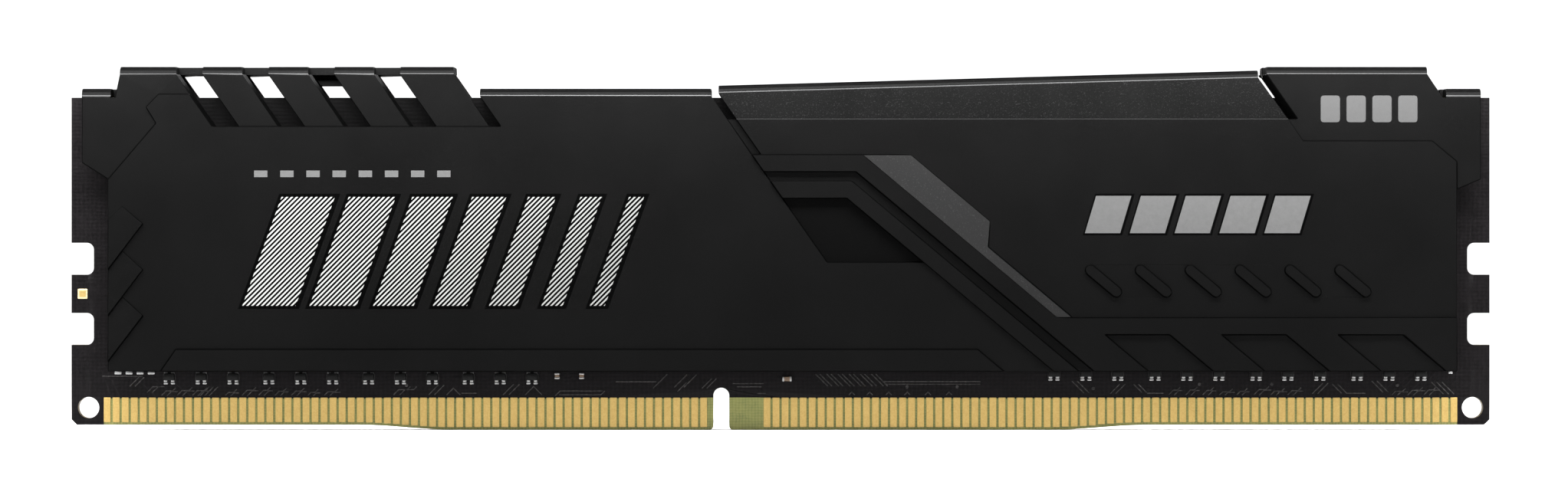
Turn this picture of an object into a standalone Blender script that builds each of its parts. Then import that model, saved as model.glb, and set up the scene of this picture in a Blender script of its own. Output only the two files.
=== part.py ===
"""Desktop memory module: a notched circuit board between two pressed aluminium heat spreaders.

Frame: origin at the middle of the lowest contact edge, X along the board, Z up.
Y = 0 is the middle plane of the board and -Y is the front, the side with the pills and stripes.
All the dimensions below are in millimetres. Plan points are (x, z) pairs, and a depth is a
distance from the middle plane of the board.
"""

import math
from collections import defaultdict

import bmesh
import bpy
from mathutils import Vector
from mathutils.geometry import delaunay_2d_cdt

MM = 0.001
FRONT = -1
REAR = 1

# Circuit board
BOARD_LENGTH = 133.35
BOARD_HEIGHT = 31.25
BOARD_THICKNESS = 1.4
BOARD_END = BOARD_LENGTH / 2
BOARD_FACE = BOARD_THICKNESS / 2
CORNER_CHAMFER = 0.5
EDGE_RISE = 0.48            # the contact edge is this much higher towards both ends
LEFT_RISE = (-30.7, -39.7)  # x where that rise starts and is complete
RIGHT_RISE = (25.3, 34.8)
RISE_STEPS = 12
HOLE_RADIUS = 1.0
HOLE_INSET = 1.6
HOLE_HEIGHT = 2.1
LATCH_NOTCHES = ((8.0, 11.0), (14.6, 17.6))
LATCH_DEPTH = 2.1
LATCH_RADIUS = 0.65
KEY_CENTRE = -5.575
KEY_WIDTH = 1.5
KEY_TOP = 3.96
KEY_CORNER = 0.35
CORNER_STEPS = 8
ROUND_STEPS = 24

# Gold contacts, on a pitch that starts at the left end of the board
CONTACT_PITCH = 0.85
CONTACT_WIDTH = 0.63
CONTACT_TOP = 3.04
CONTACT_FOOT = 0.25
CONTACT_THICKNESS = 0.04
CONTACT_LINK = 0.12
FIRST_CONTACT = -63.325
LEFT_CONTACTS = range(0, 67)
RIGHT_CONTACTS = range(73, 150)

# Parts soldered to the board
SEAT = 0.02                 # clearance between faces that touch on the real module
CHIP_WIDTH = 7.5
CHIP_HEIGHT = 11.0
CHIP_THICKNESS = 1.0
CHIP_STANDOFF = 0.1
CHIP_CENTRE_Z = 17.5
CHIP_EDGE = 0.12
LEFT_BANK = (-54.475, 9.37)   # centre of the first chip, and the pitch
RIGHT_BANK = (28.71, 9.5)
CHIPS_PER_BANK = 4
PACK_SIZE = (1.1, 1.2)
PACK_THICKNESS = 0.38
PACK_SPREAD = 3.0
LEFT_PACK_Z = 4.88
RIGHT_PACK_Z = 5.22
UPRIGHT_SIZE = (0.5, 0.66)    # plan sizes of the two kinds of capacitor
FLAT_SIZE = (0.95, 0.5)
CAPACITOR_THICKNESS = 0.45
EEPROM_SIZE = (3.0, 2.0)
EEPROM_THICKNESS = 0.55
TEST_PAD_SIZE = 0.92
LEFT_CAPACITOR = (-21.0, 5.08)
MIDDLE_CAPACITOR = (-18.7, 5.08)
RIGHT_CAPACITOR = (0.6, 4.8)
EEPROM_CENTRE = (4.0, 12.0)
TEST_PAD_CENTRE = (-65.635, 12.8)

# Depths of the heat spreader's faces
INNER = 2.3
EAR = 3.1
PANEL = 3.3
RAISED = 3.6
POCKET = 2.9
LIP_END = 0.12              # the lips of the two spreaders almost meet over the board
LIP_THICKNESS = 0.75
LIP_STEPS = 8

# Plan of the heat spreader
STEEP = math.tan(math.radians(35))     # sideways run per mm of fall
SHALLOW = math.tan(math.radians(50))
PLATE_LEFT = -63.0
PLATE_RIGHT = 63.35
PLATE_BOTTOM = 5.55
PLATE_TOP = 34.1
LOW_TOP = 32.05
LOW_SEAT = 31.2
BEND_HIGH = PLATE_TOP - LIP_THICKNESS
BEND_LOW = LOW_TOP - LIP_THICKNESS
EAR_LEFT = -65.45
EAR_RIGHT = 65.6
SLOT_BOTTOM = 28.5
SLOT_FIRST = -56.6
SLOT_PITCH = 6.17
SLOT_WIDTH = 2.44
SLOT_COUNT = 4
HOOK_SLOT = 2               # the slot, counted from 0, where the rear spreader's hook shows
HOOK_BOTTOM = 32.4
HOOK_TOP = 33.0
HOOK_DEPTH = 1.0
FIN_RIGHT = -30.62
MIDDLE_LEFT = -28.15
MIDDLE_RIGHT = -6.5
RISING_LEFT = -5.81
RISING_LEFT_TOP = 32.35
RISING_RIGHT = 44.75
RISING_RIGHT_TOP = 33.77
RISING_SLOPE = (RISING_RIGHT_TOP - RISING_LEFT_TOP) / (RISING_RIGHT - RISING_LEFT)
FOLD = 29.2                 # above this line the rising part leans back
FOLD_LEAN = math.tan(math.radians(6))
CORNER_LEFT = 45.55
CORNER_GAP = 0.93
CORNER_RIGHT = 60.57
BEYOND = 1.05               # how far a region runs past the edge that trims it

# Left edges that turn in towards the board, as sloping walls on the front spreader
SLOT_WALL = 0.3             # plan width of that wall in each slot
CORNER_WALL = 0.6           # and on the upper right corner
WALL_FOOT = 2.4             # depth where both end
REAR_SLOT_LEFT = 0.2        # the rear windows are this much narrower on the left
REAR_SLOT_RIGHT = 0.12      # and on the right
REAR_CORNER = 0.2           # the rear corner starts this much further left

# Ears: the low borders of the two upper corners
LEFT_EAR_FOOT = 23.55       # where each ear meets the upright side of the plate
LEFT_EAR_LOW = 25.1         # and its own outer edge
RIGHT_EAR_FOOT = 22.6
RIGHT_EAR_LOW = 23.55
LEFT_EAR_STEP = ((-58.51, 28.81), (-59.43, 30.3), (-58.24, 31.53), (-55.1, 31.53))
RIGHT_EAR_STEP = (61.05, 27.15)
LEFT_LIP_END = -62.76       # the low lips of the front spreader stop short of the tall part,
RIGHT_LIP_START = 62.35     # and those of the rear spreader run on to it
LEFT_SHOULDER = (-61.87, -61.9, -62.35)  # x of the tall part's left edge: top, bend and seat

# Chevrons: overlapping shingles along the left edge
CHEVRON_COUNT = 3
CHEVRON_PITCH = 4.31
CHEVRON_TIP = (-59.7, 19.38)
CHEVRON_START = -61.64
CHEVRON_RUN = 3.3 / 4.33    # sideways run per mm of fall of their lower edges
CHEVRON_TOP = 18.7
CHEVRON_LOW = 0.05          # how far their upper and lower edges stand above the panel
CHEVRON_HIGH = 0.27

# Stripes that run along the slanted edge and then down to the right
STRIPE_TOP = 25.87
STRIPE_BENDS = ((7.7, STRIPE_TOP), (7.02, 24.3), (6.68, 23.4), (6.22, 21.8))
POCKET_BOTTOM = 15.8
BAND_TOP = 10.58
BAND_END = PLATE_RIGHT + 0.6
FACET_WIDTH = 4.45
FACET_NARROW = 1.45
FACET_WIDE_END = 19.57
FACET_NARROW_START = 17.22

# Raised strip on the left, and the pockets in the band on the right
STRIP_LEFT = (-56.62, 7.62)
STRIP_RIGHT = (18.46, 7.62)
NICHE_START = (30.37, 8.99)
NICHE_PITCH = 10.9
NICHE_WIDTH = 6.07
NICHE_COUNT = 3

# Pills
PILL_START = (29.03, 15.03)
PILL_PITCH = 4.67
PILL_RUN = 2.41
PILL_RADIUS = 0.5
PILL_COUNT = 6
PILL_STEPS = 10

# Outer plan sizes of the soft and flat pieces
PAD_BOTTOM = 11.6
PAD_TOP = 23.4
PAD_OVERHANG = 0.5
LABEL_BOX = (-55.0, 9.6, -13.0, 26.4)
LABEL_THICKNESS = 0.08
LABEL_RADIUS = 1.0

COLOURS = {
    # name: (colour, roughness, metallic)
    "solder_mask": ((0.012, 0.011, 0.010, 1), 0.45, 0.0),
    "gold": ((0.80, 0.55, 0.20, 1), 0.30, 1.0),
    "black_aluminium": ((0.018, 0.018, 0.019, 1), 0.50, 0.6),
    "chip_resin": ((0.015, 0.015, 0.016, 1), 0.60, 0.0),
    "pad_silicone": ((0.35, 0.37, 0.40, 1), 0.80, 0.0),
    "resistor_body": ((0.03, 0.03, 0.032, 1), 0.50, 0.0),
    "capacitor_body": ((0.25, 0.18, 0.12, 1), 0.50, 0.0),
    "label_film": ((0.80, 0.80, 0.78, 1), 0.60, 0.0),
}


def clear_scene():
    for item in list(bpy.data.objects):
        bpy.data.objects.remove(item, do_unlink=True)


def material_for(name, kind):
    colour, roughness, metallic = COLOURS[kind]
    material = bpy.data.materials.new(name)
    material.use_nodes = True
    shader = material.node_tree.nodes["Principled BSDF"]
    shader.inputs["Base Color"].default_value = colour
    shader.inputs["Roughness"].default_value = roughness
    shader.inputs["Metallic"].default_value = metallic
    return material


def add_object(name, kind, mesh_data):
    piece = bpy.data.objects.new(name, mesh_data)
    mesh_data.materials.append(material_for(name, kind))
    bpy.context.scene.collection.objects.link(piece)
    return piece


# ---------------------------------------------------------------- plan helpers

def arc(centre, radius, start, end, steps):
    """Points along an arc, from one angle to another, in degrees."""
    points = []
    for step in range(steps + 1):
        angle = math.radians(start + (end - start) * step / steps)
        points.append((centre[0] + radius * math.cos(angle), centre[1] + radius * math.sin(angle)))
    return points


def rectangle(left, bottom, right, top):
    return [(left, bottom), (right, bottom), (right, top), (left, top)]


def falls(point, slope, z):
    """Where a line through a point, running right as it falls, reaches a height."""
    return (point[0] + (point[1] - z) * slope, z)


def inside(point, loop):
    """Whether a plan point lies inside a closed outline."""
    x, z = point
    found = False
    for (x1, z1), (x2, z2) in zip(loop, loop[1:] + loop[:1]):
        crosses = (z1 > z) != (z2 > z)
        if crosses and x < x1 + (z - z1) * (x2 - x1) / (z2 - z1):
            found = not found
    return found


def plan_triangles(loops):
    """Triangles that respect every line of a set of closed outlines."""
    points = []
    edges = []
    for loop in loops:
        first = len(points)
        count = len(loop)
        points += [Vector(point) for point in loop]
        edges += [(first + i, first + (i + 1) % count) for i in range(count)]
    corners, _, faces, _, _, _ = delaunay_2d_cdt(points, edges, [], 0, 1e-4, False)
    return [(corner.x, corner.y) for corner in corners], faces


# ------------------------------------------------------------- solid from plan

def region(loop, outer=None, inner=None):
    """Part of a plate's plan, with the depth of its outer and inner faces as numbers or functions."""
    return {"loop": loop, "outer": outer, "inner": inner}


def depth_at(rule, point):
    value = rule(*point) if callable(rule) else rule
    return round(value, 5)


def face_depths(point, regions, side):
    """The rule for one face of the plate at a plan point: the last region that states one."""
    rule = None
    for item in regions:
        if item[side] is not None and inside(point, item["loop"]):
            rule = item[side]
    return rule


def plate(name, kind, facing, outline, holes, regions):
    """A closed plate from its plan: every region has its own depths, with upright walls between."""
    corners, triangles = plan_triangles([outline] + holes + [item["loop"] for item in regions])
    kept = []
    for triangle in triangles:
        middle = tuple(sum(corners[i][axis] for i in triangle) / 3 for axis in (0, 1))
        if not inside(middle, outline) or any(inside(middle, hole) for hole in holes):
            continue
        depths = {}
        for side in ("outer", "inner"):
            rule = face_depths(middle, regions, side)
            depths[side] = {i: depth_at(rule, corners[i]) for i in triangle}
        kept.append((triangle, depths))

    levels = defaultdict(set)
    edges = defaultdict(list)
    for triangle, depths in kept:
        for side in ("outer", "inner"):
            for i in triangle:
                levels[i].add(depths[side][i])
        for a, b in zip(triangle, triangle[1:] + triangle[:1]):
            edges[min(a, b), max(a, b)].append(depths)

    mesh = bmesh.new()
    made = {}

    def vertex(i, depth):
        if (i, depth) not in made:
            x, z = corners[i]
            made[i, depth] = mesh.verts.new((x * MM, facing * depth * MM, z * MM))
        return made[i, depth]

    def climb(i, start, end):
        """The vertices above a plan corner, from one depth to another."""
        between = [d for d in levels[i] if min(start, end) <= d <= max(start, end)]
        return [vertex(i, d) for d in sorted(between, reverse=start > end)]

    def wall(a, b, first, second):
        """An upright face on a plan edge, between the depths of its two sides."""
        loop = climb(a, first[a], second[a]) + climb(b, second[b], first[b])
        loop = list(dict.fromkeys(loop))
        if len(loop) > 2:
            mesh.faces.new(loop)

    for triangle, depths in kept:
        for side in ("outer", "inner"):
            mesh.faces.new([vertex(i, depths[side][i]) for i in triangle])
    for (a, b), sides in edges.items():
        if len(sides) == 1:
            wall(a, b, sides[0]["outer"], sides[0]["inner"])
            continue
        for side in ("outer", "inner"):
            wall(a, b, sides[0][side], sides[1][side])

    bmesh.ops.dissolve_limit(
        mesh, angle_limit=math.radians(0.05), verts=mesh.verts, edges=mesh.edges
    )
    bmesh.ops.triangulate(mesh, faces=mesh.faces, ngon_method="EAR_CLIP")
    bmesh.ops.recalc_face_normals(mesh, faces=mesh.faces)
    if mesh.calc_volume(signed=True) < 0:
        bmesh.ops.reverse_faces(mesh, faces=mesh.faces)
    data = bpy.data.meshes.new(name)
    mesh.to_mesh(data)
    mesh.free()
    return add_object(name, kind, data)


def block(name, kind, facing, centre, size, near, far, edge=0.0):
    """A box soldered or stuck to the board, between two depths, with an optional broken edge."""
    mesh = bmesh.new()
    bmesh.ops.create_cube(mesh, size=1.0)
    scale = Vector((size[0], far - near, size[1])) * MM
    bmesh.ops.scale(mesh, vec=scale, verts=mesh.verts)
    place = Vector((centre[0], facing * (near + far) / 2, centre[1])) * MM
    bmesh.ops.translate(mesh, vec=place, verts=mesh.verts)
    if edge:
        outer = [e for e in mesh.edges if all(facing * v.co.y > (far - edge) * MM for v in e.verts)]
        bmesh.ops.bevel(mesh, geom=outer, offset=edge * MM, segments=1, affect="EDGES")
    data = bpy.data.meshes.new(name)
    mesh.to_mesh(data)
    mesh.free()
    return add_object(name, kind, data)


# --------------------------------------------------------------- circuit board

def ease(x, limits):
    """0 before the rise of the contact edge, 1 after it, and a smooth curve between."""
    start, end = limits
    t = min(max((x - start) / (end - start), 0.0), 1.0)
    return t * t * (3 - 2 * t)


def board_bottom(x):
    return EDGE_RISE * (ease(x, LEFT_RISE) + ease(x, RIGHT_RISE))


def rise_points(limits):
    start, end = limits
    stations = [start + (end - start) * step / RISE_STEPS for step in range(RISE_STEPS + 1)]
    return [(x, board_bottom(x)) for x in stations]


def key_notch():
    """The notch that keys the board to its socket, from left to right."""
    left = KEY_CENTRE - KEY_WIDTH / 2
    right = KEY_CENTRE + KEY_WIDTH / 2
    top_centre = (KEY_CENTRE, KEY_TOP - KEY_WIDTH / 2)
    points = arc((left - KEY_CORNER, KEY_CORNER), KEY_CORNER, 270, 360, CORNER_STEPS)
    points += arc(top_centre, KEY_WIDTH / 2, 180, 0, ROUND_STEPS)
    points += arc((right + KEY_CORNER, KEY_CORNER), KEY_CORNER, 180, 270, CORNER_STEPS)
    return points


def right_end():
    """The right end of the board, from the bottom up, with its two latch notches."""
    bottom = board_bottom(BOARD_END)
    floor = BOARD_END - LATCH_DEPTH
    points = [(BOARD_END - CORNER_CHAMFER, bottom), (BOARD_END, bottom + CORNER_CHAMFER)]
    for low, high in LATCH_NOTCHES:
        points.append((BOARD_END, low))
        centre_x = floor + LATCH_RADIUS
        points += arc((centre_x, low + LATCH_RADIUS), LATCH_RADIUS, 270, 180, CORNER_STEPS)
        points += arc((centre_x, high - LATCH_RADIUS), LATCH_RADIUS, 180, 90, CORNER_STEPS)
        points.append((BOARD_END, high))
    points.append((BOARD_END, BOARD_HEIGHT))
    return points


def make_board():
    left_end = [(-x, z) for x, z in reversed(right_end())]
    outline = left_end + rise_points(LEFT_RISE)[::-1] + key_notch() + rise_points(RIGHT_RISE)
    outline += right_end()
    holes = []
    for end in (-1, 1):
        centre = (end * (BOARD_END - HOLE_INSET), HOLE_HEIGHT)
        holes.append(arc(centre, HOLE_RADIUS, 0, 360, 2 * ROUND_STEPS)[:-1])
    whole = region(outline, BOARD_FACE, -BOARD_FACE)
    plate("circuit_board", "solder_mask", FRONT, outline, holes, [whole])


def contact_comb(name, facing, numbers):
    """A row of gold fingers, linked by the narrow strip that the solder mask covers."""
    half = CONTACT_WIDTH / 2
    outline = []
    for number in numbers:
        x = FIRST_CONTACT + CONTACT_PITCH * number
        outline.append((x - half, CONTACT_TOP))
        outline.append((x - half, board_bottom(x - half) + CONTACT_FOOT))
        outline.append((x + half, board_bottom(x + half) + CONTACT_FOOT))
        outline.append((x + half, CONTACT_TOP))
    outline.append((outline[-1][0], CONTACT_TOP + CONTACT_LINK))
    outline.append((outline[0][0], CONTACT_TOP + CONTACT_LINK))
    near = BOARD_FACE + SEAT
    whole = region(outline, near + CONTACT_THICKNESS, near)
    plate(name, "gold", facing, outline, [], [whole])


def make_contacts():
    for side, facing in (("front", FRONT), ("rear", REAR)):
        contact_comb(f"contacts_{side}_left", facing, LEFT_CONTACTS)
        contact_comb(f"contacts_{side}_right", facing, RIGHT_CONTACTS)


# -------------------------------------------------- parts mounted on the board

def bank_places():
    """Centre of every memory chip on one side, left bank first."""
    return [first + pitch * i for first, pitch in (LEFT_BANK, RIGHT_BANK) for i in range(CHIPS_PER_BANK)]


def make_chips():
    near = BOARD_FACE + CHIP_STANDOFF
    size = (CHIP_WIDTH, CHIP_HEIGHT)
    for side, facing in (("front", FRONT), ("rear", REAR)):
        for number, x in enumerate(bank_places(), start=1):
            name = f"memory_chip_{side}_{number}"
            centre = (x, CHIP_CENTRE_Z)
            block(name, "chip_resin", facing, centre, size, near, near + CHIP_THICKNESS, CHIP_EDGE)


def make_thermal_pads():
    near = BOARD_FACE + CHIP_STANDOFF + CHIP_THICKNESS + SEAT
    height = PAD_TOP - PAD_BOTTOM
    middle = (PAD_TOP + PAD_BOTTOM) / 2
    for side, facing in (("front", FRONT), ("rear", REAR)):
        for end, (first, pitch) in (("left", LEFT_BANK), ("right", RIGHT_BANK)):
            run = pitch * (CHIPS_PER_BANK - 1)
            size = (run + CHIP_WIDTH + 2 * PAD_OVERHANG, height)
            centre = (first + run / 2, middle)
            block(f"thermal_pad_{side}_{end}", "pad_silicone", facing, centre, size, near, INNER - SEAT)


def make_small_parts():
    near = BOARD_FACE + SEAT
    far = near + PACK_THICKNESS
    heights = [LEFT_PACK_Z] * CHIPS_PER_BANK + [RIGHT_PACK_Z] * CHIPS_PER_BANK
    number = 0
    for x, z in zip(bank_places(), heights):
        for offset in (-PACK_SPREAD, 0.0, PACK_SPREAD):
            number += 1
            name = f"resistor_pack_{number:02d}"
            block(name, "resistor_body", FRONT, (x + offset, z), PACK_SIZE, near, far)
    far = near + CAPACITOR_THICKNESS
    block("capacitor_left", "capacitor_body", FRONT, LEFT_CAPACITOR, UPRIGHT_SIZE, near, far)
    block("capacitor_middle", "capacitor_body", FRONT, MIDDLE_CAPACITOR, UPRIGHT_SIZE, near, far)
    block("capacitor_right", "capacitor_body", FRONT, RIGHT_CAPACITOR, FLAT_SIZE, near, far)
    far = near + EEPROM_THICKNESS
    block("settings_eeprom", "chip_resin", FRONT, EEPROM_CENTRE, EEPROM_SIZE, near, far)
    size = (TEST_PAD_SIZE, TEST_PAD_SIZE)
    block("gold_test_pad", "gold", FRONT, TEST_PAD_CENTRE, size, near, near + CONTACT_THICKNESS)


# --------------------------------------------------------------- heat spreader

def slot_edges():
    """X of the left and right edge of every slot, where it meets the bend."""
    lefts = [SLOT_FIRST + SLOT_PITCH * i for i in range(SLOT_COUNT)]
    return [(left, left + SLOT_WIDTH) for left in lefts]


def rising_top(x):
    """Height of the slanted top edge over the right half of the module."""
    return RISING_LEFT_TOP + (x - RISING_LEFT) * RISING_SLOPE


def open_slots():
    """The slots of the front spreader, cut through its lip, from right to left."""
    points = []
    for left, right in reversed(slot_edges()):
        wall_foot = (left + SLOT_WALL, BEND_HIGH)
        points += [(right, PLATE_TOP), (right, BEND_HIGH)]
        points.append(falls((right, BEND_HIGH), STEEP, SLOT_BOTTOM))
        points.append(falls(wall_foot, STEEP, SLOT_BOTTOM))
        points += [wall_foot, (left, BEND_HIGH), (left, PLATE_TOP)]
    return points


def rear_slot(number, low, high):
    """A stretch of one window of the rear spreader, between two heights."""
    left, right = slot_edges()[number]
    left += REAR_SLOT_LEFT
    right -= REAR_SLOT_RIGHT
    corners = ((left, high), (left, low), (right, low), (right, high))
    return [falls((x, BEND_HIGH), STEEP, z) for x, z in corners]


def closed_slots():
    """The windows of the rear spreader, under its uncut lip."""
    tops = [BEND_HIGH] * SLOT_COUNT
    tops[HOOK_SLOT] = HOOK_BOTTOM
    return [rear_slot(number, SLOT_BOTTOM, top) for number, top in enumerate(tops)]


def corner_foot(left=CORNER_LEFT):
    """Where the slanted left edge of the upper right corner ends."""
    return falls((left, BEND_HIGH), STEEP, FOLD)


def rising_foot():
    """Where the slanted right edge of the rising part ends, across the gap."""
    return (corner_foot()[0] - CORNER_GAP, FOLD)


def front_low_ends():
    """Both ends of the tall part, each with a notch before the low lip beside it."""
    top, bend, seat = LEFT_SHOULDER
    right = [(RIGHT_LIP_START, LOW_TOP), (RIGHT_LIP_START, LOW_SEAT)]
    right.append(falls((CORNER_RIGHT, BEND_HIGH), STEEP, LOW_SEAT))
    left = [(top, PLATE_TOP), (bend, BEND_HIGH), (seat, LOW_SEAT)]
    left += [(LEFT_LIP_END, LOW_SEAT), (LEFT_LIP_END, LOW_TOP)]
    return right, left


def rear_low_ends():
    top, bend, seat = LEFT_SHOULDER
    right = [falls((CORNER_RIGHT, BEND_HIGH), STEEP, LOW_TOP)]
    share = (BEND_HIGH - LOW_TOP) / (BEND_HIGH - LOW_SEAT)
    left = [(top, PLATE_TOP), (bend, BEND_HIGH), (bend + (seat - bend) * share, LOW_TOP)]
    return right, left


def spreader_outline(slots, corner_edge, low_ends):
    """The outline of a spreader, anticlockwise from its lower left corner."""
    rising_bend = rising_top(RISING_LEFT) - LIP_THICKNESS
    right_bend = rising_top(RISING_RIGHT) - LIP_THICKNESS
    right_end, left_end = low_ends
    points = [(PLATE_LEFT, PLATE_BOTTOM), (PLATE_RIGHT, PLATE_BOTTOM), (PLATE_RIGHT, RIGHT_EAR_FOOT)]
    points += [(EAR_RIGHT, RIGHT_EAR_LOW), (EAR_RIGHT, LOW_TOP), *right_end]
    points += [(CORNER_RIGHT, BEND_HIGH), (CORNER_RIGHT, PLATE_TOP)]
    points += corner_edge
    points += [rising_foot(), (RISING_RIGHT, right_bend)]
    points += [(RISING_RIGHT, RISING_RIGHT_TOP), (RISING_LEFT, RISING_LEFT_TOP)]
    points += [(RISING_LEFT, rising_bend), falls((RISING_LEFT, rising_bend), STEEP, FOLD)]
    points += [falls((MIDDLE_RIGHT, BEND_LOW), STEEP, FOLD), (MIDDLE_RIGHT, BEND_LOW)]
    points += [(MIDDLE_RIGHT, LOW_TOP), (MIDDLE_LEFT, LOW_TOP), (MIDDLE_LEFT, BEND_LOW)]
    points.append(falls((MIDDLE_LEFT, BEND_LOW), STEEP, SLOT_BOTTOM))
    points += [falls((FIN_RIGHT, BEND_HIGH), STEEP, SLOT_BOTTOM), (FIN_RIGHT, BEND_HIGH)]
    points.append((FIN_RIGHT, PLATE_TOP))
    points += slots
    points += [*left_end, (EAR_LEFT, LOW_TOP)]
    points += [(EAR_LEFT, LEFT_EAR_LOW), (PLATE_LEFT, LEFT_EAR_FOOT)]
    return points


def front_corner_edge():
    """The left edge of the upper right corner, from the top down, with its sloping wall."""
    foot = corner_foot()
    points = [(CORNER_LEFT, PLATE_TOP), (CORNER_LEFT, BEND_HIGH)]
    points += [(CORNER_LEFT - CORNER_WALL, BEND_HIGH), (foot[0] - CORNER_WALL, FOLD)]
    return points


def rear_corner_edge():
    left = CORNER_LEFT - REAR_CORNER
    return [(left, PLATE_TOP), (left, BEND_HIGH), corner_foot(left)]


def sloping_wall(top, width, foot_z):
    """The wall that runs down a slanted edge; it falls away to the right, or to the left if negative."""
    low = falls(top, STEEP, foot_z)
    loop = [top, low, (low[0] + width, low[1]), (top[0] + width, top[1])]

    def slope(x, z):
        across = (x - falls(top, STEEP, z)[0]) / width
        return EAR - (EAR - WALL_FOOT) * across

    return region(loop, slope)


def front_walls():
    walls = [sloping_wall((left, BEND_HIGH), SLOT_WALL, SLOT_BOTTOM) for left, _ in slot_edges()]
    return walls + [sloping_wall((CORNER_LEFT, BEND_HIGH), -CORNER_WALL, FOLD)]


def ear_regions():
    """The low borders: the left ear, the fins between the slots and the upper right corner."""
    above = PLATE_TOP + BEYOND
    step_end = LEFT_EAR_STEP[-1]
    left = [(PLATE_LEFT, LEFT_EAR_FOOT), *LEFT_EAR_STEP, (step_end[0] - BEYOND / 2, above)]
    left += [(EAR_LEFT - BEYOND, above), (EAR_LEFT - BEYOND, LEFT_EAR_FOOT)]
    first_slot = (SLOT_FIRST + SLOT_WIDTH / 2, BEND_HIGH)
    last_fin = (FIN_RIGHT + BEYOND / 2, BEND_HIGH)
    fins = [falls(first_slot, STEEP, SLOT_BOTTOM), falls(last_fin, STEEP, SLOT_BOTTOM)]
    fins += [last_fin, (last_fin[0], above), (first_slot[0], above), first_slot]
    gap_middle = CORNER_LEFT - CORNER_GAP / 2
    step_fall = (PLATE_RIGHT - RIGHT_EAR_STEP[0]) / SHALLOW
    corner = [rising_foot(), falls(rising_foot(), STEEP, RIGHT_EAR_STEP[1]), RIGHT_EAR_STEP]
    corner.append((PLATE_RIGHT, RIGHT_EAR_STEP[1] - step_fall))
    corner += [(PLATE_RIGHT, RIGHT_EAR_FOOT), (EAR_RIGHT + BEYOND, RIGHT_EAR_FOOT)]
    corner += [(EAR_RIGHT + BEYOND, above), (gap_middle, above), (gap_middle, BEND_HIGH)]
    corner += [(corner_foot()[0] - CORNER_GAP / 2, FOLD)]
    return [region(loop, EAR) for loop in (left, fins, corner)]


def leaning_depth(x, z):
    """Depth of the face that leans back above the fold."""
    return PANEL - (z - FOLD) * FOLD_LEAN


def leaning_region():
    """The face above the fold, from one slanted gap to the other."""
    left = RISING_LEFT - BEYOND / 4
    right = RISING_RIGHT + BEYOND / 3
    low_left = rising_top(RISING_LEFT) - LIP_THICKNESS
    low_right = rising_top(RISING_RIGHT) - LIP_THICKNESS
    above = PLATE_TOP + BEYOND / 2
    loop = [falls((left, low_left), STEEP, FOLD), rising_foot(), (right, low_right), (right, above)]
    loop += [(left, above), (left, low_left)]
    return region(loop, leaning_depth)


def lip_regions():
    """The bends along the top: each turns the plate back over the board."""
    def level(height):
        return lambda x: height

    lips = [
        # left end, right end, top edge, depth of the face below the bend
        (-66.0, -62.4, level(LOW_TOP), level(EAR)),
        (-62.4, -30.0, level(PLATE_TOP), level(EAR)),
        (-28.7, -6.2, level(LOW_TOP), level(PANEL)),
        (-6.2, 45.15, rising_top, lambda x: leaning_depth(x, rising_top(x) - LIP_THICKNESS)),
        (45.15, 61.4, level(PLATE_TOP), level(EAR)),
        (62.05, 66.2, level(LOW_TOP), level(EAR)),
    ]
    regions = []
    for left, right, top, face in lips:
        def bend(x, z, top=top, face=face):
            up = min(max(z - top(x) + LIP_THICKNESS, 0.0), LIP_THICKNESS)
            return face(x) - LIP_THICKNESS + math.sqrt(LIP_THICKNESS ** 2 - up ** 2)

        for step in range(LIP_STEPS):
            low, high = (
                LIP_THICKNESS * (math.sin(math.pi / 2 * s / LIP_STEPS) - 1) for s in (step, step + 1)
            )
            loop = [(left, top(left) + low), (right, top(right) + low)]
            loop += [(right, top(right) + high), (left, top(left) + high)]
            regions.append(region(loop, bend, LIP_END))
    return regions


def chevron_regions():
    """Overlapping shingles along the left edge, each rising towards its lower right edge."""
    tip_x, first_z = CHEVRON_TIP
    beyond = PLATE_LEFT - BEYOND
    regions = []
    for number in range(CHEVRON_COUNT):
        corner_z = first_z - CHEVRON_PITCH * number

        def lower_edge(x, corner_z=corner_z):
            return corner_z + (x - tip_x) / CHEVRON_RUN

        def rise(x, z, lower_edge=lower_edge):
            up = (lower_edge(x) + CHEVRON_PITCH - z) / CHEVRON_PITCH
            return PANEL + CHEVRON_LOW + (CHEVRON_HIGH - CHEVRON_LOW) * up

        lower = [(tip_x, corner_z), (beyond, lower_edge(beyond))]
        if number == 0:
            start_z = corner_z + (tip_x - CHEVRON_START) / SHALLOW
            upper = [(beyond, CHEVRON_TOP), (CHEVRON_START, start_z)]
        else:
            upper = [(x, lower_edge(x) + CHEVRON_PITCH) for x in (beyond, CHEVRON_START)]
        regions.append(region(lower + upper, rise))
    return regions


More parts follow.
